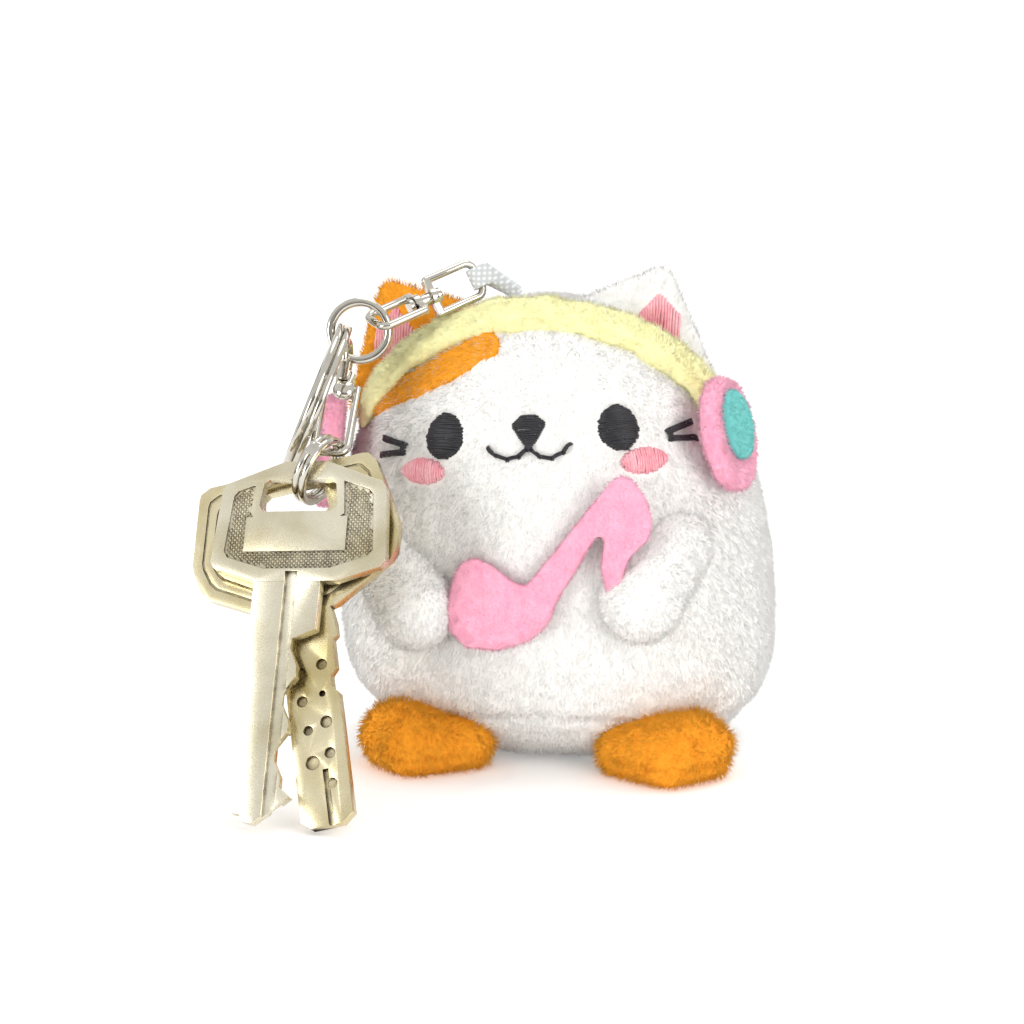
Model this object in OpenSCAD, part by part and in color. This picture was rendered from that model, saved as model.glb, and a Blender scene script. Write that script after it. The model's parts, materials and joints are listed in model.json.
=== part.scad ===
// Plush keychain: a stuffed cat with headphones, a swivel, split rings, a snap clip and two keys.
// Millimetres, +Z up. The origin is the middle of the flat base, and the face looks along -Y.

/* [Plush body] */
// Width of the body at its widest
body_w = 68; // [62:0.5:72]
// Depth of the body from front to back
body_d = 54; // [50:0.5:58]
// Height of the body without the ears
body_h = 70.5; // [69:0.1:72]
// Height at which the body is widest
belly_z = 23; // [20:0.5:27]
// Sideways lean of the head towards the keys, in degrees
lean = 4.2; // [3.8:0.1:4.6]
// Thickness of the plush cover with its pile
cover_t = 1.2; // [0.8:0.1:1.6]

/* [Head] */
// Sideways distance of each eye from the middle of the face
eye_x = 13.4; // [12.5:0.1:14]
// Height of the eyes
eye_z = 52.8; // [51:0.2:53.6]
// Diameter of a headphone's pink pad
pad_d = 17.6; // [16:0.2:18.4]
// Diameter of a headphone's teal disc
disc_d = 10.8; // [9:0.2:12]
// Width of the padded headband
band_w = 8.2; // [7:0.2:8.6]

/* [Metal fittings] */
// Wire diameter of the swivel and the clip
wire_d = 1.25; // [1.1:0.05:1.3]
// Outer diameter of the split ring between the swivel and the clip
link_d = 10.2; // [10:0.1:10.6]
// Outer diameter of the split ring that holds the keys
lower_d = 11.2; // [11:0.1:11.4]
// Outer diameter of the large split ring
ring_d = 25; // [24:0.5:26]
// Diameter of the rivet that the swivel turns on
rivet_d = 1.3; // [1.1:0.1:1.5]

/* [Keys] */
// Thickness of a key
key_t = 2; // [1.8:0.1:2.2]
// Width of the front key's bow
bow_w = 27.6; // [26:0.2:28.4]
// Width of the rear key's bow
rear_bow_w = 32.8; // [31:0.2:33.4]

/* [Hidden] */

// ---- Vectors ----
function unit(v) = v / norm(v);
function across(n) = unit(cross([0, 0, 1], n));
// A length of v at right angles to the unit vector a
function square_to(v, a) = unit(v - (v * a) * a);
// Puts its children in the frame at p whose X runs along ex and whose Z runs along ez
module in_frame(p, ex, ez) {
    ey = cross(ez, ex);
    multmatrix([
        [ex.x, ey.x, ez.x, p.x],
        [ex.y, ey.y, ez.y, p.y],
        [ex.z, ey.z, ez.z, p.z],
        [0, 0, 0, 1]
    ]) children();
}

// ---- Body shape: a rounded pear, leaned to one side above its base ----
panel_t = 0.8;
half_w = body_w / 2;
half_d = body_d / 2;
low_power = 3;
top_power = 2.3;
ring_power = 2.2;
lean_height = 18;
// Angle of the lowest ring, so that the cover starts at half its widest size
low_angle = -acos(pow(0.5, low_power / 2));
low_drop = belly_z * pow(abs(sin(low_angle)), 2 / low_power);

function signed_pow(v, k) = sign(v) * pow(abs(v), k);
function ease(k) = k * k * (3 - 2 * k);
// The face is sewn a little to one side of the middle, and the ears to the other
face_shift = 1.5;
ear_shift = -1.8;
function leaned(p, a) = [
    p.x * cos(a) - p.z * sin(a), p.y, p.z * cos(a) + p.x * sin(a)
];
function lean_at(z) = lean * ease(min(1, max(0, z / lean_height)));
// Height of the ring at angle a, from low_angle at the base to 90 at the top
function ring_z(a) = a < 0
    ? belly_z - (belly_z - panel_t) / low_drop * belly_z * pow(-sin(a), 2 / low_power)
    : belly_z + (body_h - belly_z) * pow(sin(a), 2 / top_power);
function ring_size(a) = pow(cos(a), 2 / (a < 0 ? low_power : top_power));
function upright(a, t) = [
    half_w * ring_size(a) * signed_pow(cos(t), 2 / ring_power),
    half_d * ring_size(a) * signed_pow(sin(t), 2 / ring_power),
    ring_z(a)
];
// A point of the body's surface: a is its ring, and t goes round from +X towards +Y
function skin(a, t) = let (p = upright(a, t)) leaned(p, lean_at(p.z));
step = 1.5;
function skin_normal(a, t) = let (
    up = skin(min(88, a + step), t) - skin(max(low_angle, a - step), t),
    round = skin(a, t + step) - skin(a, t - step)
) unit(cross(round, up));
function inside(a, t, depth) = skin(a, t) - depth * skin_normal(a, t);

// Half the body's width at a height on the head
function half_at(z) = half_w * pow(1 - pow((z - belly_z) / (body_h - belly_z), top_power),
                                   1 / top_power);
// A point on the front of the head, before the lean, at the sideways place x and height z
function front(x, z) = [
    x,
    -half_d / half_w * half_at(z)
        * pow(1 - pow(abs(x) / half_at(z), ring_power), 1 / ring_power),
    z
];
function front_normal(x, z) = unit(cross(front(x + 0.5, z) - front(x - 0.5, z),
                                         front(x, z + 0.5) - front(x, z - 0.5)));
module head() { rotate([0, -lean, 0]) children(); }
// Draws its children flat on the face, with Z outwards and Y up the face
module on_face(x, z, depth = 0) {
    n = front_normal(x + face_shift, z);
    head() in_frame(front(x + face_shift, z) - depth * n, across(n), n) children();
}
module ellipse_pad(w, h, t) {
    linear_extrude(t) polygon([for (a = [0:15:345]) [w / 2 * cos(a), h / 2 * sin(a)]]);
}

// ---- Body ----
rings = 22;
sides = 36;
function ring_angle(i) = low_angle + (90 - low_angle) * i / rings;
module body_cover() {
    outer = [for (i = [0:rings - 1], j = [0:sides - 1]) skin(ring_angle(i), 360 * j / sides)];
    inner = [for (i = [0:rings - 1], j = [0:sides - 1])
        inside(ring_angle(i), 360 * j / sides, cover_t)];
    n = rings * sides;
    top = leaned([0, 0, body_h], lean);
    function at(i, j) = i * sides + (j % sides);
    quads = [for (i = [0:rings - 2], j = [0:sides - 1]) each [
        [at(i, j), at(i + 1, j + 1), at(i, j + 1)], [at(i, j), at(i + 1, j), at(i + 1, j + 1)]
    ]];
    faces = concat(
        quads,
        [for (f = quads) [n + f[0], n + f[2], n + f[1]]],
        [for (j = [0:sides - 1]) [at(rings - 1, j), 2 * n, at(rings - 1, j + 1)]],
        [for (j = [0:sides - 1]) [n + at(rings - 1, j), n + at(rings - 1, j + 1), 2 * n + 1]],
        [for (j = [0:sides - 1]) each [
            [at(0, j), at(0, j + 1), n + at(0, j + 1)], [at(0, j), n + at(0, j + 1), n + at(0, j)]
        ]]
    );
    color("white") polyhedron(
        concat(outer, inner, [top, leaned([0, 0, body_h - cover_t], lean)]), faces
    );
}

// The filling, a little smaller than the inside of the cover
module stuffing() {
    gap = 0.3;
    rows = 14;
    turns = 24;
    function row(i) = low_angle + (90 - low_angle) * i / rows;
    function at(i, j) = i * turns + (j % turns);
    points = [for (i = [0:rows - 1], j = [0:turns - 1])
        inside(row(i), 360 * j / turns, cover_t + gap)];
    n = rows * turns;
    faces = concat(
        [for (i = [0:rows - 2], j = [0:turns - 1]) each [
            [at(i, j), at(i + 1, j + 1), at(i, j + 1)], [at(i, j), at(i + 1, j), at(i + 1, j + 1)]
        ]],
        [for (j = [0:turns - 1]) [at(rows - 1, j), n, at(rows - 1, j + 1)]],
        [for (j = [0:turns - 1]) [at(0, j), at(0, j + 1), n + 1]]
    );
    color("ivory") polyhedron(
        concat(points, [
            leaned([0, 0, body_h - cover_t - gap - 0.6], lean),
            [0, 0, panel_t + cover_t + gap]
        ]), faces
    );
}

// The flat sewn panel that the plush stands on
module base_panel() {
    color("white") ellipse_pad(body_w * 0.5, body_d * 0.5, panel_t);
}

// The orange lens of short plush under the left half of the headband
module head_patch() {
    patch_t = 0.9;
    patch_sunk = 0.4;
    spots = [[-25.4, 56.8], [-19, 60], [-13, 63], [-7.5, 65.6]];
    color("darkorange") for (k = [0:2]) hull() for (s = [spots[k], spots[k + 1]])
        on_face(s.x, s.y, patch_sunk) cylinder(h = patch_t, d = 4.6, $fn = 24);
}

// ---- Ears ----
module ear_shape(side) {
    corners = [[8.5, 1, 67.3, 2.6], [27, 1, 55.2, 2.6], [21.6, 1, 72.2, 2.2]];
    head() hull() for (c = corners)
        translate([side * c[0] + ear_shift, c[1], c[2]]) sphere(r = c[3], $fn = 24);
}
module ear_left() { color("darkorange") ear_shape(-1); }
module ear_right() { color("white") ear_shape(1); }
// The pink embroidered triangle on the front of each ear
module ear_lining(side) {
    color("hotpink") head() translate([side * 19.4 + ear_shift, -1.2, 66.4]) rotate([90, 0, 0]) hull() {
        translate([side * 2.3, 3.4, 0]) cylinder(h = 1.0, r = 1.2, $fn = 24);
        translate([side * -3, -0.6, 0]) cylinder(h = 1.0, r = 1, $fn = 24);
        translate([side * 3.6, -3.4, 0]) cylinder(h = 1.0, r = 1, $fn = 24);
    }
}
module ear_lining_left() { ear_lining(-1); }
module ear_lining_right() { ear_lining(1); }

// ---- Headphones ----
cup_y = -11;
cup_z = 49.4;
cup_x = 29.9;
cup_shift = -0.9;
cup_forward = 12;
cup_up = 10;
pad_t = 3.2;
disc_t = 1.2;
disc_up = 1.2;
module at_cup(side) {
    n = [side * cos(cup_forward) * cos(cup_up), -sin(cup_forward) * cos(cup_up), sin(cup_up)];
    head() in_frame([side * cup_x + cup_shift, cup_y, cup_z], across(n), n) children();
}
module cup_pad(side) {
    rim = 1.1;
    color("hotpink") at_cup(side) rotate_extrude($fn = 48) hull() {
        square([0.01, pad_t - 0.4]);
        translate([pad_d / 2 - rim, rim]) circle(r = rim, $fn = 24);
        translate([pad_d / 2 - rim, pad_t - rim]) circle(r = rim, $fn = 24);
    }
}
module cup_pad_left() { cup_pad(-1); }
module cup_pad_right() { cup_pad(1); }
module cup_disc(side) {
    rim = 0.8;
    color("turquoise") at_cup(side) translate([0, disc_up, pad_t - 0.3]) rotate_extrude($fn = 48) {
        square([disc_d / 2 - rim, disc_t]);
        square([disc_d / 2, disc_t - rim]);
        translate([disc_d / 2 - rim, disc_t - rim]) circle(r = rim, $fn = 24);
    }
}
module cup_disc_left() { cup_disc(-1); }
module cup_disc_right() { cup_disc(1); }

// The padded strip over the head, from one pad to the other
band_t = 2.4;
module headband() {
    steps = 40;
    section = 12;
    band_lift = 0.75;
    reach = 42;
    // How far forward the middle and the ends of the strip lie, for each unit of height
    fore = 0.2;
    end_fore = 0.15;
    // The strip's centre line crosses the head at the angle a from the top
    function crown(a) = let (
        tip = fore + (end_fore - fore) * pow(abs(a) / reach, 2),
        k = pow(pow(abs(sin(a)) / half_w, top_power) + pow(cos(a) / (body_h - belly_z), top_power)
            + pow(tip / half_d, top_power), -1 / top_power)
    ) [k * sin(a), -k * tip, belly_z + k * cos(a)];
    function along(a) = unit(crown(a + 1) - crown(a - 1));
    function out(a) = square_to([crown(a).x / half_w / half_w, crown(a).y / half_d / half_d,
        (crown(a).z - belly_z) / pow(body_h - belly_z, 2)], along(a));
    points = [for (i = [0:steps], j = [0:section - 1]) let (
        a = -reach + 2 * reach * i / steps, t = 360 * j / section,
        side = cross(along(a), out(a))
    ) leaned(crown(a) + (band_lift + band_t / 2 * sin(t)) * out(a)
        + band_w / 2 * signed_pow(cos(t), 0.8) * side, lean)];
    function at(i, j) = i * section + (j % section);
    color("khaki") polyhedron(points, concat(
        [for (i = [0:steps - 1], j = [0:section - 1]) each [
            [at(i, j), at(i, j + 1), at(i + 1, j + 1)], [at(i, j), at(i + 1, j + 1), at(i + 1, j)]
        ]],
        [[for (j = [section - 1:-1:0]) at(0, j)], [for (j = [0:section - 1]) at(steps, j)]]
    ));
}

// ---- Embroidery: thin raised pads of satin stitch, sunk a little into the pile ----
stitch_t = 1;
sunk = 0.55;
module eye(side) {
    color("black") on_face(side * eye_x, eye_z, sunk) ellipse_pad(5.2, 6.4, stitch_t);
}
module eye_left() { eye(-1); }
module eye_right() { eye(1); }
module nose_mouth() {
    color("black") {
        on_face(0, 53.2, sunk) linear_extrude(stitch_t)
            polygon([[-2.2, 1.2], [-1.4, 1.8], [1.4, 1.8], [2.2, 1.2], [0.5, -1.4], [-0.5, -1.4]]);
        for (side = [-1, 1]) on_face(side * 3.2, 50, sunk) linear_extrude(stitch_t)
            polygon([[side * -3.4, 1.6], [side * -2.8, 2.1], [side * -2, 0.4], [side * 0.4, -0.3],
                [side * 3, 1.3], [side * 3.4, 0.9], [side * 0.6, -1], [side * -2.6, -0.3]]);
    }
}
module cheek(side) {
    color("pink") on_face(side * 17, 47.7, sunk) ellipse_pad(7.2, 3.9, stitch_t);
}
module cheek_left() { cheek(-1); }
module cheek_right() { cheek(1); }
module whiskers(side) {
    color("black") on_face(side * 22.3, 50.8, sunk) {
        for (up = [-1, 1]) rotate([0, 0, side * up * 14]) translate([0, up * 0.55, stitch_t / 2])
            cube([5.2, 0.8, stitch_t], center = true);
        translate([side * -2.5, 0, stitch_t / 2]) cube([0.8, 1.9, stitch_t], center = true);
    }
}
module whiskers_left() { whiskers(-1); }
module whiskers_right() { whiskers(1); }

// ---- Arms, note and feet ----
module arm(side) {
    color("white") head() hull() {
        translate([side * 21.6, -17, 34]) sphere(r = 6.3, $fn = 24);
        translate([side * 17.4, -22.6, 27.4]) sphere(r = 6.6, $fn = 24);
    }
}
module arm_left() { arm(-1); }
module arm_right() { arm(1); }

// The felt music note that the cat holds: a heart-like head, a slanted stem and a flag
note_t = 2;
note_y = -30.6;
module music_note() {
    tilt = 86;
    color("hotpink") head() translate([0, note_y, -0.6]) rotate([tilt, 0, 0])
        translate([0, 0, -note_t / 2]) linear_extrude(note_t) polygon([
            [-10.6, 33.4], [-9.4, 35.4], [-7.2, 36], [-4.6, 34.8], [-1.6, 32], [0.4, 31.2],
            [14.2, 46.6], [16, 47.6], [17.8, 46.6], [19.6, 44], [20.4, 40.6], [19.6, 37.6],
            [16.6, 35.2], [15.4, 32.4], [16, 29.8], [14.6, 28.4], [12.6, 30.2], [12, 34],
            [13, 38], [11.8, 38.6], [5.2, 29], [3.6, 25.4], [0.4, 22.8], [-4.6, 21.2],
            [-9.6, 22.2], [-12, 24.6], [-12.2, 28.6]
        ]);
}

module foot(side) {
    middle = [side * 18.8, -22];
    color("darkorange") difference() {
        hull() {
            translate([middle.x + side * 4.8, middle.y, 4.4]) sphere(r = 5.4, $fn = 24);
            translate([middle.x + side * 1, middle.y - 4.6, 4.1]) sphere(r = 4.9, $fn = 24);
            translate([middle.x - side * 6.6, middle.y - 0.4, 3.7]) sphere(r = 4, $fn = 24);
            translate([middle.x, middle.y + 6, 4.4]) sphere(r = 5.2, $fn = 24);
        }
        translate([middle.x, middle.y, -3]) cube([40, 40, 6], center = true);
    }
}
module foot_left() { foot(-1); }
module foot_right() { foot(1); }

// ---- Where the metal hangs ----
view = unit([0.16, -0.965, 0.2]);
// Middle of the bar of the swivel's eye, inside the ribbon
eye_bar = [-13.6, -4, 74];
// Middle of the upper split ring, and the way it faces
upper_at = [-29.9, -16, 67];
upper_face = view;
upper_x = across(upper_face);
upper_y = cross(upper_face, upper_x);
// Wire of a small split ring: its radial and its axial size
coil_r = 1.3;
coil_t = 2.2;
link_r = (link_d - coil_r) / 2;
lower_r = (lower_d - coil_r) / 2;
fit_gap = 0.5;
function upper_point(angle, r) = upper_at + r * (cos(angle) * upper_x + sin(angle) * upper_y);
// Middle of the swivel loop's end bar, inside the upper ring
loop_bar = upper_point(30, link_r - coil_r / 2 - wire_d / 2 - fit_gap);
swivel_way = unit(loop_bar - eye_bar);
swivel_len = norm(loop_bar - eye_bar);
swivel_face = square_to(view, swivel_way);
swivel_side = cross(swivel_face, swivel_way);
// The ring's wire at the lower left, where the clip hangs
clip_top = upper_point(244, link_r);

// Point of the lower ring's wire that carries the keys
key_pivot = [-34.7, -36, 44.8];
key_down = unit([0.01, -0.506, -0.862]);
key_x = square_to([0.99, -0.14, 0], key_down);
key_face = cross(key_x, -key_down);
// Way from the lower ring's middle to the keys
lower_down = unit([-0.44, -0.48, -0.76]);
lower_at = key_pivot - lower_r * lower_down;
lower_fore = square_to(key_face, lower_down);
lower_face = cross(lower_fore, lower_down);
clip_bar = lower_at - (lower_r - coil_r / 2 - wire_d / 2 - fit_gap) * lower_down;
clip_down = unit(clip_bar - clip_top);
clip_len = norm(clip_bar - clip_top);
clip_x = square_to(lower_face, clip_down);
clip_face = cross(clip_x, -clip_down);

// ---- Ribbon ----
ribbon_w = 3.3;
ribbon_t = 0.6;
// The woven loop that is sewn into the seam behind the headband
module ribbon_loop() {
    hole = wire_d + 0.4;
    loop_len = 1.9;
    outer = hole + 2 * ribbon_t;
    back = square_to([-1, -0.5, 0], swivel_side);
    seam = [-8.2, 0.5, 71.2];
    color("gainsboro") {
        in_frame(eye_bar - ribbon_w / 2 * swivel_side, back, swivel_side)
            linear_extrude(ribbon_w) difference() {
                union() {
                    circle(d = outer, $fn = 40);
                    translate([-loop_len, -outer / 2]) square([loop_len, outer]);
                }
                circle(d = hole, $fn = 40);
            }
        hull() {
            in_frame(eye_bar - (loop_len - 0.3) * back, back, swivel_side)
                cube([0.6, outer, ribbon_w], center = true);
            translate(seam) cube([1.2, outer, 1.4], center = true);
        }
    }
}

// ---- Swivel ----
// Distance between the middles of a loop's two side wires
loop_w = 5.6;
eye_len = swivel_len * 0.44;
loop_start = eye_len + 3;
module rod(from, to, d) {
    way = to - from;
    side = abs(unit(way).z) > 0.9 ? [1, 0, 0] : [0, 0, 1];
    in_frame(from, square_to(side, unit(way)), unit(way)) cylinder(h = norm(way), d = d, $fn = 32);
}
module bend(at, r, start, turn, d) {
    translate(at) rotate([0, 0, start]) rotate_extrude(angle = turn, $fn = 64)
        translate([r, 0]) circle(d = d, $fn = 32);
}
// A U of wire with its end bar at x = 0 and its legs along +X, closed by a flat bridge with a bore
module wire_u(len, bore) {
    r = 1.4;
    w = loop_w / 2;
    bridge_t = 1;
    difference() {
        union() {
            rod([0, -w + r, 0], [0, w - r, 0], wire_d);
            for (s = [-1, 1]) {
                rod([r, s * w, 0], [len, s * w, 0], wire_d);
                bend([r, s * (w - r), 0], r, s > 0 ? 90 : 180, 90, wire_d);
                translate([len, s * w, 0]) sphere(d = wire_d, $fn = 32);
            }
            translate([len - bridge_t / 2, -w, -0.8]) cube([bridge_t, loop_w, 1.6]);
            translate([len - bridge_t / 2, 0, 0]) rotate([0, 90, 0])
                cylinder(h = bridge_t, d = bore + 1.5, $fn = 40);
        }
        translate([len - 2, 0, 0]) rotate([0, 90, 0]) cylinder(h = 4, d = bore, $fn = 40);
    }
}
// The frame of the swivel: X along it from the ribbon, turned about itself by twist
module in_swivel(from, sense, twist) {
    side = cos(twist) * swivel_side + sin(twist) * swivel_face;
    ex = sense * swivel_way;
    in_frame(from, ex, cross(ex, side)) children();
}
bore_gap = 0.12;
module swivel_eye() {
    color("silver") in_swivel(eye_bar, 1, 0) wire_u(eye_len, rivet_d + 0.04);
}
module swivel_rivet() {
    head_d = 2.3;
    head_t = 0.8;
    neck_d = 2;
    color("silver") in_swivel(eye_bar, 1, 0) rotate([0, 90, 0]) {
        translate([0, 0, eye_len - 0.5 - head_t]) cylinder(h = head_t, d = head_d, $fn = 40);
        translate([0, 0, eye_len - 0.6]) cylinder(h = loop_start - eye_len + 1.3, d = rivet_d, $fn = 40);
        translate([0, 0, eye_len + 0.5]) cylinder(h = loop_start - eye_len - 1.1, d = neck_d, $fn = 40);
        translate([0, 0, loop_start + 0.6]) cylinder(h = head_t, d = head_d, $fn = 40);
    }
}
loop_twist = 57;
module swivel_loop() {
    color("silver") in_swivel(loop_bar, -1, loop_twist)
        wire_u(swivel_len - loop_start, rivet_d + bore_gap);
}

// ---- Split rings: two flat coils side by side, joined by a short step ----
module split_ring(outer, radial, axial) {
    coil = axial / 2;
    round = min(radial, coil) / 2 - 0.05;
    module section() {
        hull() for (x = [round, radial - round], y = [round, coil - round])
            translate([x, y]) circle(r = round, $fn = 16);
    }
    rotate_extrude($fn = 96) translate([outer / 2 - radial, 0.02]) section();
    rotate_extrude($fn = 96) translate([outer / 2 - radial, -coil - 0.02]) section();
    translate([outer / 2 - radial + 0.1, -1.2, -coil * 0.6]) cube([radial - 0.2, 2.4, coil * 1.2]);
}
module upper_split_ring() {
    color("silver") in_frame(upper_at, upper_x, upper_face) rotate([0, 0, 120])
        split_ring(link_d, coil_r, coil_t);
}
module lower_split_ring() {
    color("silver") in_frame(lower_at, -lower_down, lower_face) rotate([0, 0, 75])
        split_ring(lower_d, coil_r, coil_t);
}
// The large ring hangs from the upper ring, beside the headphone
ring_r = 1.7;
ring_t = 2.3;
large_down = unit([-0.34, -0.24, -0.91]);
ring_gap = 0.42;
// The large ring sits a little high and inwards, which keeps it off the clip as it swings
large_hold = upper_point(180, link_r - coil_r / 2 - ring_r / 2 - ring_gap) + [0.2, 0, 0.3];
large_at = large_hold + (ring_d - ring_r) / 2 * large_down;
large_face = square_to([-0.91, -0.16, 0.38], large_down);
module large_split_ring() {
    color("silver") in_frame(large_at, -large_down, large_face) rotate([0, 0, 150])
        split_ring(ring_d, ring_r, ring_t);
}

// ---- Snap clip ----
clip_half = 2.6;
eye_r = 2.35;
tip_y = clip_len * 0.66;
gate_y = clip_len - eye_r - 1.4;
module in_clip() { in_frame(clip_bar, clip_x, clip_face) children(); }
module clip_wire() {
    r = 1.5;
    color("silver") in_clip() {
        rod([-clip_half + r, 0, 0], [clip_half - r, 0, 0], wire_d);
        bend([-clip_half + r, r, 0], r, 180, 90, wire_d);
        bend([clip_half - r, r, 0], r, 270, 90, wire_d);
        rod([clip_half, r, 0], [clip_half, tip_y, 0], wire_d);
        translate([clip_half, tip_y, 0]) sphere(d = wire_d, $fn = 32);
        rod([-clip_half, r, 0], [-clip_half, gate_y - 0.4, 0], wire_d);
        bend([-clip_half + 0.9, gate_y - 0.4, 0], 0.9, 90, 90, wire_d);
        rod([-clip_half + 0.9, gate_y + 0.5, 0], [0, gate_y + 0.5, 0], wire_d);
        rod([0, gate_y + 0.5, 0], [0, clip_len - eye_r, 0], wire_d);
        translate([0, gate_y + 0.5, 0]) sphere(d = wire_d, $fn = 32);
        translate([0, clip_len, 0]) rotate([0, 90, 0]) rotate_extrude($fn = 64)
            translate([eye_r, 0]) circle(d = wire_d, $fn = 32);
    }
}
// The gate is a folded strip that swings on a pin and closes on the tip of the wire
pin_at = [0.5, gate_y - 1.4];
module clip_gate() {
    color("silver") in_clip() difference() {
        union() {
            translate([pin_at.x - 0.9, tip_y + 0.5, -1.1]) cube([1.8, pin_at.y - tip_y, 2.2]);
            translate([pin_at.x, pin_at.y, -1.1]) cylinder(h = 2.2, r = 0.9, $fn = 40);
            translate([0.55, tip_y + 0.1, 0]) sphere(d = 2.5, $fn = 40);
        }
        translate([pin_at.x, pin_at.y, -2]) cylinder(h = 4, d = 0.7 + 0.1, $fn = 40);
    }
}
module clip_gate_pin() {
    color("silver") in_clip() {
        translate([pin_at.x, pin_at.y, -1.6]) cylinder(h = 3.2, d = 0.7, $fn = 40);
        for (z = [-1.85, 1.25]) translate([pin_at.x, pin_at.y, z]) cylinder(h = 0.6, d = 1.2, $fn = 40);
        for (z = [-1.85, 1.25]) translate([-0.55, pin_at.y - 0.6, z]) cube([1.6, 3.2, 0.6]);
    }
}

// ---- Keys ----
// The ring passes through a bow's hole this far below the hole's upper edge
hang = 1.9;
strip = 2.85;
key_gap = 0.6;
module in_keys(turn, offset) {
    in_frame(key_pivot + offset * key_face, key_x, key_face) rotate([0, 0, turn]) children();
}
// A long blade's outline, from its tip to the bow, with its edge cut to the given depths
module cut_blade(w, top, length, start, pitch, cuts) {
    polygon(concat(
        [[-w / 2, top], [-w / 2, top - length + 1.6], [-w / 2 + 1.5, top - length + 1.4],
         [-w / 2 + 2, top - length + 0.3], [-w / 2 + 3.4, top - length], [w / 2 - 1.6, top - length + 4]],
        [for (k = [len(cuts) - 1:-1:0]) each [
            [w / 2 - cuts[k], top - start - pitch * (k + 0.72)],
            [w / 2 - cuts[k], top - start - pitch * (k + 0.35)]
        ]],
        [[w / 2, top - start], [w / 2, top]]
    ));
}
blade_w = 10.4;
bow_top = hang + strip;
// The bow's middle and its hole's middle, to the side of the ring
bow_x = 1.3;
hole_x = 0.6;
hole_w = 12.6;
hole_h = 5;
module key_front() {
    edge = 1;
    blade_top = bow_top - 18.6;
    blade_len = 55.6 - 18.6;
    color("silver") in_keys(0, key_gap + key_t / 2) translate([0, 0, -key_t / 2]) difference() {
        union() {
            linear_extrude(key_t) difference() {
                bow_outline(0);
                key_hole(hole_w, hole_h);
            }
            linear_extrude(key_t - 0.1) cut_blade(blade_w, blade_top, blade_len, 7.6, 4.2,
                [3.6, 2.4, 4.2, 2.8, 4.6, 3.2]);
        }
        // Sunk field on both faces, between the rim and the plaque
        for (z = [-1, key_t - 0.3]) translate([0, 0, z]) linear_extrude(1.3) difference() {
            bow_outline(2 * edge);
            key_hole(hole_w + 2.4, hole_h + 2.4);
            translate([hole_x, bow_top - 11.4]) square([16, 5.4], center = true);
        }
        // Groove along the blade
        translate([-0.4, blade_top - blade_len - 1, key_t - 0.7]) cube([1.9, blade_len + 2.4, 1]);
        translate([0.6, blade_top - blade_len - 1, -0.3]) cube([1.6, blade_len + 1, 0.9]);
    }
}
// Outline of a bow with six corners, drawn in by the given inset
module bow_outline(inset) {
    k = bow_w / 2 - inset;
    translate([bow_x, 0]) offset(r = 1) offset(delta = -1) polygon([[-k * 0.24, bow_top - inset], [k * 0.24, bow_top - inset],
        [k * 0.93, bow_top - 3.6 - inset * 0.6], [k, bow_top - 16.4 + inset * 0.8],
        [k * 0.44, bow_top - 18.8 + inset], [-k * 0.44, bow_top - 18.8 + inset],
        [-k, bow_top - 16.4 + inset * 0.8], [-k * 0.93, bow_top - 3.6 - inset * 0.6]]);
}
module key_hole(w, h) {
    centre = hang - hole_h / 2;
    translate([hole_x, 0]) offset(r = 1) offset(delta = -1)
        polygon([[-w / 2, centre - h / 2], [w / 2, centre - h / 2],
                 [w / 2 - 0.7, centre + h / 2], [-w / 2 + 0.7, centre + h / 2]]);
}
dimples = [[1.9, 17.5, 1.7], [-1.6, 18.3, 2], [1.5, 22, 1], [-1.7, 22.6, 1.7], [-1.3, 27.2, 1.5],
           [1.6, 26.4, 1.9], [-1.2, 32.2, 2.2], [1.6, 31.2, 1.7], [1.4, 35.8, 1.6]];
rear_x = -2;
rear_turn = 12.3;
// Outline of the rear key's wider bow, drawn in by the given inset
module rear_outline(inset) {
    k = rear_bow_w / 2 - inset;
    offset(r = 2) offset(delta = -2) polygon([
        [-k * 0.84, bow_top + 0.3 - inset], [k * 0.84, bow_top + 0.3 - inset], [k, bow_top - 12],
        [k * 0.92, bow_top - 17 + inset * 0.8], [k * 0.3, bow_top - 22.6 + inset],
        [-k * 0.3, bow_top - 22.6 + inset], [-k * 0.92, bow_top - 17 + inset * 0.8],
        [-k, bow_top - 12]
    ]);
}
module key_rear() {
    k = 4;
    top = bow_top - 22;
    tip = bow_top - 55.8;
    line_w = 0.35;
    color("darkkhaki") in_keys(rear_turn, -key_gap - key_t / 2)
        translate([rear_x, 0, -key_t / 2]) difference() {
            union() {
                linear_extrude(key_t) difference() {
                    rear_outline(0);
                    key_hole(11, hole_h);
                }
                linear_extrude(key_t) polygon([
                    [-k, top + 1], [-k, tip + 1.2], [-k + 1.4, tip], [k - 1.8, tip], [k, tip + 1.4],
                    [k, top - 14], [k - 0.9, top - 13], [k - 0.9, top - 11], [k, top - 10],
                    [k, top - 5.6], [k + 0.7, top - 5], [k + 0.7, top - 3], [k, top + 1]
                ]);
            }
            // Two lines engraved inside the bow's edge
            for (n = [1, 2]) translate([0, 0, key_t - 0.2]) linear_extrude(1) difference() {
                rear_outline(1.5 * n);
                rear_outline(1.5 * n + line_w);
                key_hole(13.4, hole_h + 2.4);
            }
            for (p = dimples) translate([p.x, top + 8.2 - p.y, key_t - 0.6])
                cylinder(h = 1, d = p.z, $fn = 24);
            // Short groove at the tip
            translate([0.2, tip - 1, key_t - 0.5]) cube([0.9, 9.5, 1]);
        }
}

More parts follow.
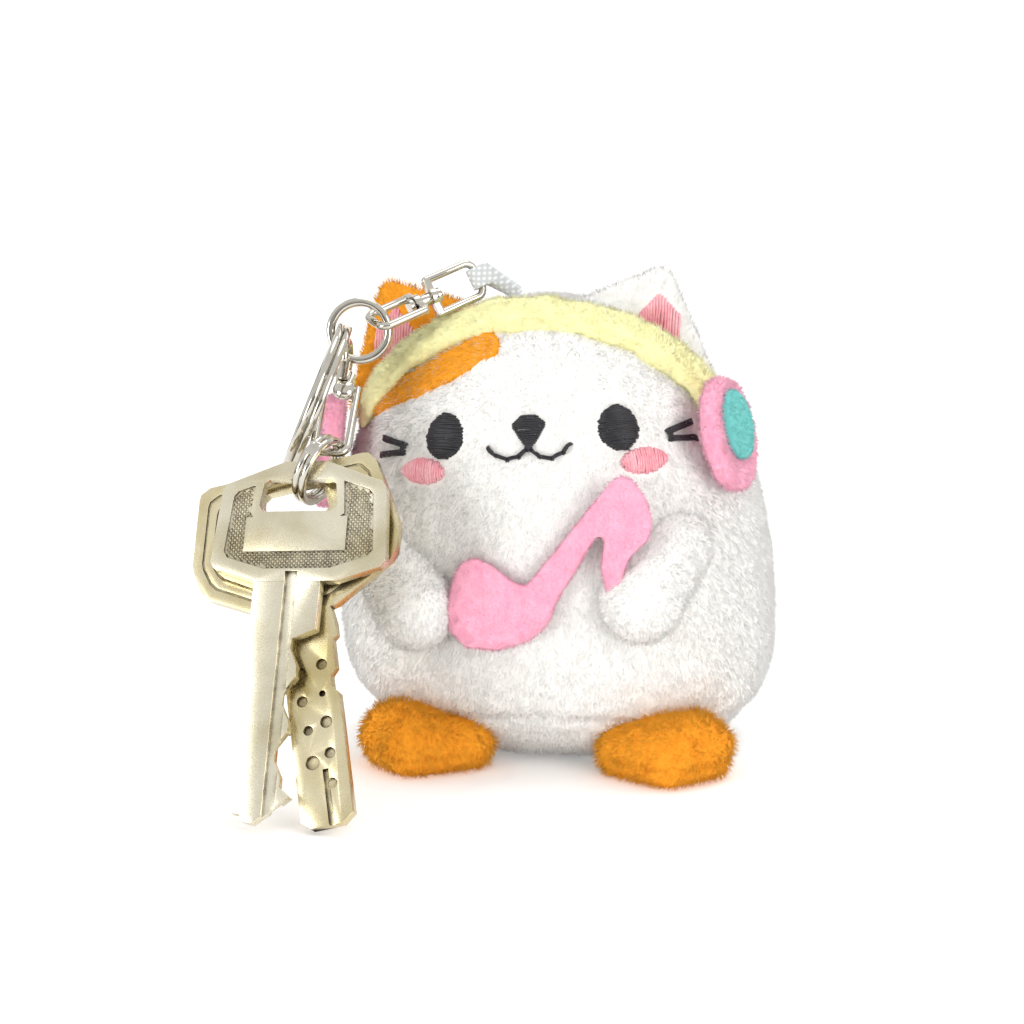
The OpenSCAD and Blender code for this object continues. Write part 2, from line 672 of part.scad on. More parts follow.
body_cover();
stuffing();
base_panel();
head_patch();
ear_left();
ear_right();
ear_lining_left();
ear_lining_right();
headband();
cup_pad_left();
cup_pad_right();
cup_disc_left();
cup_disc_right();
eye_left();
eye_right();
nose_mouth();
cheek_left();
cheek_right();
whiskers_left();
whiskers_right();
arm_left();
arm_right();
music_note();
foot_left();
foot_right();
ribbon_loop();
swivel_eye();
swivel_rivet();
swivel_loop();
upper_split_ring();
clip_wire();
clip_gate();
clip_gate_pin();
lower_split_ring();
large_split_ring();
key_front();
key_rear();
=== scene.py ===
import json
import math

import bmesh
import bpy
import numpy as np
from bpy.props import FloatProperty, FloatVectorProperty, PointerProperty
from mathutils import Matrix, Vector, noise
from mathutils.bvhtree import BVHTree

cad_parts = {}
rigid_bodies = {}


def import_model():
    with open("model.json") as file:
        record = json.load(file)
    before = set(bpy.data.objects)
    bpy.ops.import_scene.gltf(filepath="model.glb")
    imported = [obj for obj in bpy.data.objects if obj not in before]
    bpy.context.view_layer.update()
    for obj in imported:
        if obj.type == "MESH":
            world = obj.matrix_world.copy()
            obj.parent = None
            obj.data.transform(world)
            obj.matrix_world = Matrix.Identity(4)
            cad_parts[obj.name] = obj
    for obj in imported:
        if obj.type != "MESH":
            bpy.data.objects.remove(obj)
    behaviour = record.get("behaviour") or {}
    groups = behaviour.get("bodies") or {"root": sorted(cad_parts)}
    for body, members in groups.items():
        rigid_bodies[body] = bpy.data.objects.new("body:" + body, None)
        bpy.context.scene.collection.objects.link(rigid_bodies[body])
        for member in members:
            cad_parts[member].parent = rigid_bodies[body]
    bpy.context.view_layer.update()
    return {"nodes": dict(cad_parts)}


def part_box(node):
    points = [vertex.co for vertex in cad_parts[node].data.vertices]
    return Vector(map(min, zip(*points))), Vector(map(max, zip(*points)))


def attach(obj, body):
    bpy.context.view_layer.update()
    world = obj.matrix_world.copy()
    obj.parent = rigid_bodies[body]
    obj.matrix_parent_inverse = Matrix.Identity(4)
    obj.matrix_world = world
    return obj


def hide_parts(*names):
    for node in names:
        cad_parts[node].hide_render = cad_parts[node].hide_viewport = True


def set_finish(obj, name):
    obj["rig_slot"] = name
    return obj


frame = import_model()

bl_info = {
    "name": "Plush Keychain",
    "version": (1, 0, 0),
    "blender": (4, 5, 0),
    "location": "View3D > Sidebar > Keychain",
    "description": "Builds a stuffed cat keychain with its swivel, rings, clip and keys",
    "category": "Add Mesh",
}

MM = 0.001

# ---- Body shape, in millimetres, as in the CAD source ----
HALF_W, HALF_D, BODY_H, BELLY_Z = 34.0, 27.0, 70.5, 23.0
LOW_POWER, TOP_POWER, RING_POWER = 3.0, 2.3, 2.2
PANEL_T = 0.8
LEAN = math.radians(4.2)
LEAN_HEIGHT = 18.0
FACE_SHIFT = 1.5
LOW_ANGLE = -math.acos(0.5 ** (LOW_POWER / 2))


# ======== Colour and node helpers ========
def linear(code):
    """An sRGB hex colour as a linear RGBA tuple."""
    values = [int(code[i:i + 2], 16) / 255 for i in (1, 3, 5)]
    return tuple(v / 12.92 if v <= 0.04045 else ((v + 0.055) / 1.055) ** 2.4 for v in values) + (1.0,)


def add(tree, kind, inputs=None, **settings):
    """Adds a node, sets its settings, and fills its inputs with values or links."""
    node = tree.nodes.new(kind)
    for name, value in settings.items():
        setattr(node, name, value)
    for key, value in (inputs or {}).items():
        if isinstance(value, bpy.types.NodeSocket):
            tree.links.new(value, node.inputs[key])
        else:
            node.inputs[key].default_value = value
    return node


def new_material(name):
    """An empty node material with its tree, shader and object coordinates."""
    material = bpy.data.materials.new(name)
    material.use_nodes = True
    tree = material.node_tree
    tree.nodes.clear()
    output = add(tree, "ShaderNodeOutputMaterial")
    shader = add(tree, "ShaderNodeBsdfPrincipled")
    tree.links.new(shader.outputs[0], output.inputs["Surface"])
    place = add(tree, "ShaderNodeTexCoord").outputs["Object"]
    return material, tree, shader, place


def per_mm(size):
    """Texture scale whose feature is about size millimetres across."""
    return 1 / (size * MM)


# ======== Materials ========
def plush_velboa(name, painted_root_shade, tip, nap_mm=2.6):
    """Short-pile polyester velboa: matt, a little translucent, with a pale bloom at grazing angles.
    The nap leans in patches, so it shades lighter and darker every few millimetres."""
    material, tree, shader, place = new_material(name)
    height = add(tree, "ShaderNodeAttribute", attribute_name="pile").outputs["Fac"]
    nap = add(tree, "ShaderNodeTexNoise", {"Vector": place, "Scale": per_mm(nap_mm), "Detail": 3.0,
                                           "Roughness": 0.62})
    fibre = add(tree, "ShaderNodeTexNoise", {"Vector": place, "Scale": per_mm(0.35), "Detail": 2.0})
    shade = add(tree, "ShaderNodeMath", {0: nap.outputs["Fac"], 1: 0.55}, operation="MULTIPLY")
    speck = add(tree, "ShaderNodeMath", {0: fibre.outputs["Fac"], 1: 0.3, 2: shade.outputs[0]},
                operation="MULTIPLY_ADD")
    # Painted shade: the colour darkens from the fibre tips down to their roots and the cloth under them, with
    # the nap and fibre noise mixed in
    depth = add(tree, "ShaderNodeMath", {0: height, 1: 0.62, 2: speck.outputs[0]},
                operation="MULTIPLY_ADD")
    level = add(tree, "ShaderNodeMapRange", {"Value": depth.outputs[0], "From Min": 0.25,
                                             "From Max": 0.95})
    colour = add(tree, "ShaderNodeMix", {"Factor": level.outputs[0], "A": painted_root_shade, "B": tip},
                 data_type="RGBA")
    bump = add(tree, "ShaderNodeBump", {"Height": fibre.outputs["Fac"], "Strength": 0.35,
                                        "Distance": 0.15 * MM})
    tree.links.new(colour.outputs["Result"], shader.inputs["Base Color"])
    tree.links.new(bump.outputs[0], shader.inputs["Normal"])
    shader.inputs["Roughness"].default_value = 0.88
    shader.inputs["IOR"].default_value = 1.45
    shader.inputs["Specular IOR Level"].default_value = 0.25
    shader.inputs["Sheen Weight"].default_value = 0.35
    shader.inputs["Sheen Roughness"].default_value = 0.45
    shader.inputs["Sheen Tint"].default_value = tip
    shader.inputs["Subsurface Weight"].default_value = 0.12
    shader.inputs["Subsurface Radius"].default_value = (1.2 * MM, 1.0 * MM, 0.9 * MM)
    return material


def rayon_thread(name, dark, light):
    """Rayon embroidery thread: soft twisted filaments with a silky highlight along each thread.
    Each stitch is its own mesh, and the twist is drawn at about 0.5 mm so that it can show."""
    material, tree, shader, place = new_material(name)
    twist = add(tree, "ShaderNodeTexNoise", {"Vector": place, "Scale": per_mm(0.5), "Detail": 3.0})
    tone = add(tree, "ShaderNodeTexNoise", {"Vector": place, "Scale": per_mm(3.0)})
    mixed = add(tree, "ShaderNodeMath", {0: twist.outputs["Fac"], 1: 0.6, 2: tone.outputs["Fac"]},
                operation="MULTIPLY_ADD")
    level = add(tree, "ShaderNodeMapRange", {"Value": mixed.outputs[0], "From Min": 0.45,
                                             "From Max": 1.1})
    colour = add(tree, "ShaderNodeMix", {"Factor": level.outputs[0], "A": linear(dark),
                                         "B": linear(light)}, data_type="RGBA")
    bump = add(tree, "ShaderNodeBump", {"Height": twist.outputs["Fac"], "Strength": 0.4,
                                        "Distance": 0.08 * MM})
    tree.links.new(colour.outputs["Result"], shader.inputs["Base Color"])
    tree.links.new(bump.outputs[0], shader.inputs["Normal"])
    shader.inputs["Roughness"].default_value = 0.48
    shader.inputs["Sheen Weight"].default_value = 0.2
    shader.inputs["Sheen Roughness"].default_value = 0.3
    return material


def woven_ribbon(name):
    """Plain-woven polyester ribbon: a grid of over and under threads with a slight silver gloss. The
    real threads are about 0.3 mm apart, and are drawn at 0.8 mm so that they show."""
    material, tree, shader, place = new_material(name)
    band_scale = 2 * math.pi / 20 / (0.8 * MM)
    waves = []
    for axis in ("X", "Z"):
        waves.append(add(tree, "ShaderNodeTexWave", {
            "Vector": place, "Scale": band_scale, "Distortion": 0.6, "Detail": 1.0},
            bands_direction=axis))
    weave = add(tree, "ShaderNodeMath", {0: waves[0].outputs["Fac"], 1: waves[1].outputs["Fac"]},
                operation="MULTIPLY")
    colour = add(tree, "ShaderNodeMix", {"Factor": weave.outputs[0], "A": linear("#BFC3C6"),
                                         "B": linear("#F1F2F2")}, data_type="RGBA")
    bump = add(tree, "ShaderNodeBump", {"Height": weave.outputs[0], "Strength": 0.6,
                                        "Distance": 0.1 * MM})
    tree.links.new(colour.outputs["Result"], shader.inputs["Base Color"])
    tree.links.new(bump.outputs[0], shader.inputs["Normal"])
    shader.inputs["Roughness"].default_value = 0.6
    shader.inputs["Sheen Weight"].default_value = 0.25
    return material


def polished_nickel(name, tint, roughness):
    """Bright nickel plating over steel wire, tumbled smooth: a warm white mirror with faint
    handling marks that blur the reflections in patches."""
    material, tree, shader, place = new_material(name)
    smudge = add(tree, "ShaderNodeTexNoise", {"Vector": place, "Scale": per_mm(2.5), "Detail": 5.0})
    gloss = add(tree, "ShaderNodeMapRange", {"Value": smudge.outputs["Fac"], "From Min": 0.35,
                                             "From Max": 0.75, "To Min": roughness * 0.6,
                                             "To Max": roughness * 2.2})
    mark = add(tree, "ShaderNodeTexNoise", {"Vector": place, "Scale": per_mm(0.3), "Detail": 3.0})
    bump = add(tree, "ShaderNodeBump", {"Height": mark.outputs["Fac"], "Strength": 0.05,
                                        "Distance": 0.02 * MM})
    tone = add(tree, "ShaderNodeMix", {"Factor": smudge.outputs["Fac"], "A": linear(tint),
                                       "B": linear("#D8D4CA")}, data_type="RGBA")
    tree.links.new(tone.outputs["Result"], shader.inputs["Base Color"])
    tree.links.new(gloss.outputs[0], shader.inputs["Roughness"])
    tree.links.new(bump.outputs[0], shader.inputs["Normal"])
    shader.inputs["Metallic"].default_value = 1.0
    return material


def worn_key_metal(name, metal, bright, grime_and_shade_colour):
    """Rolled and milled nickel silver or brass key blank, carried for years: satin flats with fine
    crossing scratches, brighter rubbed edges, and brown painted shade that ambient occlusion puts
    in the recesses, broken up by blotchy soiling."""
    material, tree, shader, place = new_material(name)
    # Painted shade: ambient occlusion finds the recesses, and there the colour darkens towards brown
    hollow = add(tree, "ShaderNodeAmbientOcclusion", {"Distance": 1.1 * MM}, samples=6)
    blotch = add(tree, "ShaderNodeTexNoise", {"Vector": place, "Scale": per_mm(1.8), "Detail": 6.0,
                                              "Roughness": 0.65})
    dirt_in = add(tree, "ShaderNodeMath", {0: blotch.outputs["Fac"], 1: 0.5, 2: -0.05},
                  operation="MULTIPLY_ADD")
    open_part = add(tree, "ShaderNodeMath", {0: hollow.outputs["AO"], 1: dirt_in.outputs[0]},
                    operation="SUBTRACT")
    grime_and_shade = add(tree, "ShaderNodeMapRange", {"Value": open_part.outputs[0], "From Min": 0.32,
                                            "From Max": 0.66, "To Min": 1.0, "To Max": 0.0})
    stain = add(tree, "ShaderNodeTexNoise", {"Vector": place, "Scale": per_mm(9.0), "Detail": 3.0})
    warm = add(tree, "ShaderNodeMapRange", {"Value": stain.outputs["Fac"], "From Min": 0.4,
                                            "From Max": 0.7})
    base = add(tree, "ShaderNodeMix", {"Factor": warm.outputs[0], "A": linear(bright),
                                       "B": linear(metal)}, data_type="RGBA")
    # Brown painted shade in the recesses, mixed with blotchy soiling
    colour = add(tree, "ShaderNodeMix", {"Factor": grime_and_shade.outputs[0], "A": base.outputs["Result"],
                                         "B": linear(grime_and_shade_colour)}, data_type="RGBA")
    stretch = add(tree, "ShaderNodeMapping", {"Vector": place, "Rotation": (0.5, 0.1, 0.0),
                                              "Scale": (per_mm(0.12), per_mm(0.12), per_mm(3.0))})
    brushed = add(tree, "ShaderNodeTexNoise", {"Vector": stretch.outputs[0], "Scale": 1.0,
                                               "Detail": 4.0})
    gloss = add(tree, "ShaderNodeMapRange", {"Value": brushed.outputs["Fac"], "From Min": 0.3,
                                             "From Max": 0.7, "To Min": 0.2, "To Max": 0.36})
    rough = add(tree, "ShaderNodeMath", {0: grime_and_shade.outputs[0], 1: 0.35, 2: gloss.outputs[0]},
                operation="MULTIPLY_ADD")
    bump = add(tree, "ShaderNodeBump", {"Height": brushed.outputs["Fac"], "Strength": 0.12,
                                        "Distance": 0.03 * MM})
    tree.links.new(colour.outputs["Result"], shader.inputs["Base Color"])
    tree.links.new(rough.outputs[0], shader.inputs["Roughness"])
    tree.links.new(bump.outputs[0], shader.inputs["Normal"])
    shader.inputs["Metallic"].default_value = 1.0
    return material


def studio_card(name, colour_low):
    """Matt seamless paper: even and pale, with the faintest fibre."""
    material, tree, shader, place = new_material(name)
    fibre = add(tree, "ShaderNodeTexNoise", {"Vector": place, "Scale": per_mm(4.0)})
    colour = add(tree, "ShaderNodeMix", {"Factor": fibre.outputs["Fac"], "A": colour_low,
                                         "B": linear("#FFFFFF")}, data_type="RGBA")
    tree.links.new(colour.outputs["Result"], shader.inputs["Base Color"])
    shader.inputs["Roughness"].default_value = 0.9
    # The paper is lit through from below, as on a light table
    shader.inputs["Emission Color"].default_value = linear("#FFFFFF")
    shader.inputs["Emission Strength"].default_value = 0.17
    return material


# Painted shade: the darker colour painted down between the fibres and on the cloth under them, where the
# fibres shade each other. The colour at their tips is a setting.
PLUSH_PAINTED_ROOT_SHADES = {
    "white_plush": "#E6E4E0",
    "orange_plush": "#DE7A08",
    "yellow_plush": "#E6DF93",
    "pink_plush": "#E87FA3",
    "teal_plush": "#44A5A4",
    "polyester_fill": "#DEDEDE",
}
made_materials = {}


def material_for(slot):
    """The material of a record slot, made when it is first asked for."""
    if slot in made_materials:
        return made_materials[slot]
    if slot in PLUSH_PAINTED_ROOT_SHADES:
        tip = tuple(getattr(settings().colours, slot))
        made = plush_velboa(slot.replace("_plush", "_velboa"), linear(PLUSH_PAINTED_ROOT_SHADES[slot]), tip)
    elif slot == "black_thread":
        made = rayon_thread("black_rayon_thread", "#08080B", "#26262C")
    elif slot == "pink_thread":
        made = rayon_thread("pink_rayon_thread", "#E0808F", "#FBC3CB")
    elif slot == "woven_ribbon":
        made = woven_ribbon("woven_polyester_ribbon")
    elif slot == "nickel_plate":
        made = polished_nickel("polished_nickel_plate", "#B9B4A9", 0.06)
    # The last colour is the brown of the painted shade and soiling in the recesses
    elif slot == "nickel_silver":
        made = worn_key_metal("milled_nickel_silver", "#CDC3A4", "#E5DEC8", "#3E2D1A")
    else:
        made = worn_key_metal("milled_brass", "#C8B887", "#E2D7B4", "#3A2B16")
    made_materials[slot] = made
    return made


# ======== Mesh helpers ========
def mesh_object(name, points, faces, slot, body="root", smooth=True):
    """A piece made of numpy points in millimetres and lists of faces, riding on a body."""
    mesh = bpy.data.meshes.new(name)
    points = np.asarray(points, float) * MM
    counts = [len(f) for f in faces]
    mesh.vertices.add(len(points))
    mesh.vertices.foreach_set("co", points.ravel())
    mesh.loops.add(sum(counts))
    mesh.loops.foreach_set("vertex_index", np.concatenate([np.asarray(f) for f in faces]))
    mesh.polygons.add(len(counts))
    mesh.polygons.foreach_set("loop_start", np.concatenate([[0], np.cumsum(counts)[:-1]]))
    mesh.polygons.foreach_set("use_smooth", np.full(len(counts), smooth))
    mesh.update(calc_edges=True)
    mesh.validate()
    return place_object(name, mesh, slot, body)


def place_object(name, mesh, slot, body="root"):
    """Links a mesh as a piece with its material, its slot and its body."""
    piece = bpy.data.objects.new(name, mesh)
    bpy.context.scene.collection.objects.link(piece)
    mesh.materials.clear()
    mesh.materials.append(material_for(slot))
    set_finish(piece, slot)
    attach(piece, body)
    return piece


def points_of(piece):
    """A piece's points in millimetres, as an array."""
    flat = np.empty(len(piece.data.vertices) * 3)
    piece.data.vertices.foreach_get("co", flat)
    return flat.reshape(-1, 3) / MM


def normals_of(piece):
    """A piece's point normals, as an array."""
    flat = np.empty(len(piece.data.vertices) * 3)
    piece.data.vertex_normals.foreach_get("vector", flat)
    return flat.reshape(-1, 3)


def set_points(piece, points):
    """Moves a piece's points to places in millimetres."""
    piece.data.vertices.foreach_set("co", (np.asarray(points) * MM).ravel())
    piece.data.update()


def grid_faces(rows, cols):
    """Quads of a tube of rows rings with cols points each."""
    return [[i * cols + j, i * cols + (j + 1) % cols, (i + 1) * cols + (j + 1) % cols,
             (i + 1) * cols + j] for i in range(rows - 1) for j in range(cols)]


def tube(path, radii, sides=8, flat=1.0):
    """Points and faces of a closed tube along a path, with round ends."""
    path = np.asarray(path, float)
    count = len(path)
    radii = np.broadcast_to(np.asarray(radii, float), (count,))
    along = np.gradient(path, axis=0)
    along /= np.linalg.norm(along, axis=1)[:, None]
    side = np.cross(along[0], (0.31, 0.2, 0.93))
    side /= np.linalg.norm(side)
    points = []
    for k in range(count):
        side = side - (side @ along[k]) * along[k]
        side /= np.linalg.norm(side)
        over = np.cross(along[k], side)
        for j in range(sides):
            turn = 2 * math.pi * j / sides
            points.append(path[k] + radii[k] * (math.cos(turn) * side + flat * math.sin(turn) * over))
    faces = grid_faces(count, sides)
    faces.append(list(range(sides))[::-1])
    faces.append([(count - 1) * sides + j for j in range(sides)])
    return points, faces


def joined(parts):
    """Several point and face lists as one."""
    points, faces = [], []
    for some_points, some_faces in parts:
        start = len(points)
        points.extend(some_points)
        faces.extend([[start + k for k in face] for face in some_faces])
    return points, faces


def soft_copy(name, node, slot, voxel, rounds):
    """A smooth closed copy of a soft CAD solid: remeshed to small even faces and relaxed."""
    piece = place_object(name, frame["nodes"][node].data.copy(), slot)
    remesh = piece.modifiers.new("even", "REMESH")
    remesh.mode = "VOXEL"
    remesh.voxel_size = voxel * MM
    relax = piece.modifiers.new("relax", "SMOOTH")
    relax.factor = 0.5
    relax.iterations = rounds
    apply_modifiers(piece)
    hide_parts(node)
    return piece


def apply_modifiers(piece):
    """Makes a piece's evaluated mesh its own and drops the modifiers."""
    bpy.context.view_layer.update()
    depsgraph = bpy.context.evaluated_depsgraph_get()
    mesh = bpy.data.meshes.new_from_object(piece.evaluated_get(depsgraph))
    old = piece.data
    piece.modifiers.clear()
    piece.data = mesh
    bpy.data.meshes.remove(old)
    mesh.name = piece.name
    mesh.polygons.foreach_set("use_smooth", np.full(len(mesh.polygons), True))
    mesh.update()


def fbm(points, size, octaves=3):
    """Smooth noise from about -1 to 1 at each point, with features of about size millimetres."""
    return np.array([noise.fractal(Vector(p) / size, 0.9, 2.1, octaves) for p in points])


def push_out(piece, amount):
    """Moves each point along its normal by an amount in millimetres."""
    set_points(piece, points_of(piece) + normals_of(piece) * np.asarray(amount)[:, None])


# ======== Cloth ========
SIM_SCALE = 20.0
SIM_FRAMES = 20


def stuff_with_cloth(piece, pinned, pressure=4.0, cap=0.7):
    """Fills a sewn piece by cloth simulation: its seam stays and the fabric between swells.
    The piece is made 20 times larger for the solver, and no point moves more than the cap."""
    scene = bpy.context.scene
    start = points_of(piece)
    set_points(piece, start * SIM_SCALE)
    group = piece.vertex_groups.new(name="seam")
    for index in np.nonzero(pinned(start))[0]:
        group.add([int(index)], 1.0, "REPLACE")
    cloth = piece.modifiers.new("Cloth", "CLOTH")
    settings = cloth.settings
    settings.quality = 5
    settings.mass = 0.3
    settings.tension_stiffness = 12
    settings.compression_stiffness = 12
    settings.shear_stiffness = 4
    settings.bending_stiffness = 0.4
    settings.use_pressure = True
    settings.uniform_pressure_force = pressure
    settings.effector_weights.gravity = 0.0
    settings.vertex_group_mass = "seam"
    cloth.collision_settings.use_collision = False
    cloth.point_cache.frame_start = 1
    cloth.point_cache.frame_end = SIM_FRAMES
    for number in range(1, SIM_FRAMES + 1):
        scene.frame_set(number)
    bpy.context.view_layer.update()
    shape = piece.evaluated_get(bpy.context.evaluated_depsgraph_get())
    moved = np.empty(len(start) * 3)
    shape.data.vertices.foreach_get("co", moved)
    piece.modifiers.clear()
    piece.vertex_groups.clear()
    move = moved.reshape(-1, 3) / MM / SIM_SCALE - start
    size = np.linalg.norm(move, axis=1)
    move *= (np.minimum(size, cap) / np.maximum(size, 1e-9))[:, None]
    set_points(piece, start + move)
    scene.frame_set(1)


# ======== Pile: the fibres of the plush, as tapering spikes ========
keep_clear = []


def surface_samples(piece, count, rng):
    """Random points, and their normals, spread evenly over a piece's surface."""
    mesh = piece.data
    mesh.calc_loop_triangles()
    corners = np.empty(len(mesh.loop_triangles) * 3, int)
    mesh.loop_triangles.foreach_get("vertices", corners)
    corners = corners.reshape(-1, 3)
    points, normals = points_of(piece), normals_of(piece)
    a, b, c = (points[corners[:, k]] for k in range(3))
    area = np.linalg.norm(np.cross(b - a, c - a), axis=1)
    chosen = rng.choice(len(corners), count, p=area / area.sum())
    u, v = rng.random(count), rng.random(count)
    fold = u + v > 1
    u[fold], v[fold] = 1 - u[fold], 1 - v[fold]
    weights = np.stack([1 - u - v, u, v], 1)[:, :, None]
    spot = (points[corners[chosen]] * weights).sum(1)
    normal = (normals[corners[chosen]] * weights).sum(1)
    return spot, normal / np.linalg.norm(normal, axis=1)[:, None]


def hidden(spots, blocker, reach):
    """True for each spot that another piece nearly touches."""
    find = blocker.find_nearest
    return np.array([find(Vector(spot) * MM, reach * MM)[0] is not None for spot in spots])


def spike_mesh(spots, directions, lengths, width, rng):
    """Points and faces of one closed three-sided spike at each spot."""
    count = len(spots)
    other = rng.normal(size=(count, 3))
    side = np.cross(directions, other)
    side /= np.linalg.norm(side, axis=1)[:, None]
    over = np.cross(directions, side)
    root = spots - directions * 0.2
    points = np.empty((count, 4, 3))
    for k in range(3):
        turn = 2 * math.pi * k / 3
        points[:, k] = root + width / 2 * (math.cos(turn) * side + math.sin(turn) * over)
    points[:, 3] = spots + directions * lengths[:, None]
    base = np.arange(count)[:, None] * 4
    faces = np.concatenate([base + np.array(f) for f in ((0, 1, 3), (1, 2, 3), (2, 0, 3), (0, 2, 1))])
    return points.reshape(-1, 3), faces


def grow_pile(name, piece, count, length, width=0.16, lean=0.9, flow=(0, 0, -1), seed=1,
              blocker=None, reach=0.35):
    """Covers a piece with fibres that lie along the flow, as a piece of their own."""
    rng = np.random.default_rng(seed)
    spots, normals = surface_samples(piece, count, rng)
    if blocker:
        free = ~hidden(spots, blocker, reach)
        spots, normals = spots[free], normals[free]
    flow = np.asarray(flow, float)
    along = flow - (normals @ flow)[:, None] * normals
    clump = np.stack([fbm(spots[:, [a, b, c]], 2.4, 2) for a, b, c in ((0, 1, 2), (1, 2, 0), (2, 0, 1))], 1)
    direction = normals + lean * along + 0.55 * clump + 0.22 * rng.normal(size=spots.shape)
    out = (direction * normals).sum(1)
    direction += normals * np.maximum(0.45 - out, 0)[:, None]
    direction /= np.linalg.norm(direction, axis=1)[:, None]
    lengths = length * (0.65 + 0.6 * rng.random(len(spots)))
    spikes, faces = spike_mesh(spots, direction, lengths, width, rng)
    floor = spikes[:, 2] < 0.05
    spikes[floor, 2] = 0.05
    # Roots sit low on the pile scale, so the material paints them with the darker root shade
    height = np.tile([0.35, 0.35, 0.35, 1.0], len(spots))
    # Fibres take the light much as the cloth under them does
    soft = normals + 0.3 * direction + 0.12 * rng.normal(size=spots.shape)
    soft = np.repeat(soft / np.linalg.norm(soft, axis=1)[:, None], 4, axis=0)
    grown = mesh_object(name, spikes, list(faces), piece["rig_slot"], "root")
    mark_pile(grown, height)
    grown.data.normals_split_custom_set_from_vertices(soft)
    grown.visible_shadow = False
    return grown


def mark_pile(piece, height):
    """Stores how far up its fibre each point is; the material paints lower points with more of the darker
    root shade.
    """
    layer = piece.data.attributes.new("pile", "FLOAT", "POINT")
    layer.data.foreach_set("value", np.asarray(height, np.float32))


def tree_of(*pieces):
    """One search tree of all the faces of some pieces."""
    points, faces = [], []
    for piece in pieces:
        start = len(points)
        points += [v.co.copy() for v in piece.data.vertices]
        faces += [[start + v for v in p.vertices] for p in piece.data.polygons]
    return BVHTree.FromPolygons(points, faces)


# ======== Body surface ========
def signed_power(value, power):
    return math.copysign(abs(value) ** power, value)


def leaned(point, angle=LEAN):
    """A point of the upright body, leaned sideways."""
    x, y, z = point
    return np.array([x * math.cos(angle) - z * math.sin(angle), y,
                     z * math.cos(angle) + x * math.sin(angle)])


def skin(ring, turn):
    """A point of the body: ring from LOW_ANGLE to 90 degrees, turn round from +X towards +Y."""
    low = ring < 0
    size = math.cos(ring) ** (2 / (LOW_POWER if low else TOP_POWER))
    if low:
        drop = BELLY_Z * abs(math.sin(LOW_ANGLE)) ** (2 / LOW_POWER)
        z = BELLY_Z - (BELLY_Z - PANEL_T) / drop * BELLY_Z * (-math.sin(ring)) ** (2 / LOW_POWER)
    else:
        z = BELLY_Z + (BODY_H - BELLY_Z) * math.sin(ring) ** (2 / TOP_POWER)
    x = HALF_W * size * signed_power(math.cos(turn), 2 / RING_POWER)
    y = HALF_D * size * signed_power(math.sin(turn), 2 / RING_POWER)
    share = min(1, max(0, z / LEAN_HEIGHT))
    return leaned((x, y, z), LEAN * share * share * (3 - 2 * share))


def front(x, z):
    """A point on the front of the upright head."""
    half = HALF_W * (1 - ((z - BELLY_Z) / (BODY_H - BELLY_Z)) ** TOP_POWER) ** (1 / TOP_POWER)
    depth = (1 - min(1, abs(x) / half) ** RING_POWER) ** (1 / RING_POWER)
    return np.array([x, -HALF_D / HALF_W * half * depth, z])


def face_plane(x, z):
    """Origin and axes (right, up, out) of the face at a sideways place and a height."""
    x += FACE_SHIFT
    out = np.cross(front(x + 0.5, z) - front(x - 0.5, z), front(x, z + 0.5) - front(x, z - 0.5))
    out /= np.linalg.norm(out)
    right = np.cross((0, 0, 1), out)
    right /= np.linalg.norm(right)
    axes = [leaned(v) for v in (right, np.cross(out, right), out)]
    return leaned(front(x, z)), axes


# ======== Settings ========
class KeychainColours(bpy.types.PropertyGroup):
    """Colours of the plush at the tips of its fibres."""
    white_plush: FloatVectorProperty(name="White plush", description="Body, arms and right ear", size=4,
                                     subtype="COLOR", default=linear("#F9F8F5"), min=0, max=1)
    orange_plush: FloatVectorProperty(name="Orange plush", description="Feet, patch and left ear", size=4,
                                      subtype="COLOR", default=linear("#FFAF32"), min=0, max=1)
    yellow_plush: FloatVectorProperty(name="Yellow plush", description="Headband", size=4,
                                      subtype="COLOR", default=linear("#FCF9C4"), min=0, max=1)
    pink_plush: FloatVectorProperty(name="Pink plush", description="Ear pads and music note", size=4,
                                    subtype="COLOR", default=linear("#FFBDD2"), min=0, max=1)
    teal_plush: FloatVectorProperty(name="Teal plush", description="Discs of the ear pads", size=4,
                                    subtype="COLOR", default=linear("#82D3CE"), min=0, max=1)
    polyester_fill: FloatVectorProperty(name="Filling", description="Loose fibre inside the plush", size=4,
                                        subtype="COLOR", default=linear("#FFFFFF"), min=0, max=1)


class KeychainPlush(bpy.types.PropertyGroup):
    """Sizes of the plush fabric and its fibres."""
    pile: FloatProperty(name="Pile", description="Length of the short plush fibres",
                        default=1.0 * MM, min=0.4 * MM, max=2 * MM, unit="LENGTH")
    long_pile: FloatProperty(name="Long pile", description="Length of the orange plush fibres",
                             default=1.5 * MM, min=0.6 * MM, max=3 * MM, unit="LENGTH")
    density: FloatProperty(name="Density", description="Fibres for each square millimetre",
                           default=4.0, min=0.5, max=12)
    lumps: FloatProperty(name="Lumps", description="Height of the soft lumps in the fabric",
                         default=0.35 * MM, min=0, max=1 * MM, unit="LENGTH")


class KeychainThread(bpy.types.PropertyGroup):
    """Sizes of the embroidery thread."""
    pitch: FloatProperty(name="Pitch", description="Distance between neighbouring stitches",
                         default=0.3 * MM, min=0.2 * MM, max=0.8 * MM, unit="LENGTH")
    thickness: FloatProperty(name="Thickness", description="Thickness of one thread",
                             default=0.48 * MM, min=0.2 * MM, max=0.9 * MM, unit="LENGTH")
    raise_by: FloatProperty(name="Raise", description="Height of a satin stitch over the pile",
                            default=0.75 * MM, min=0.2 * MM, max=1.2 * MM, unit="LENGTH")


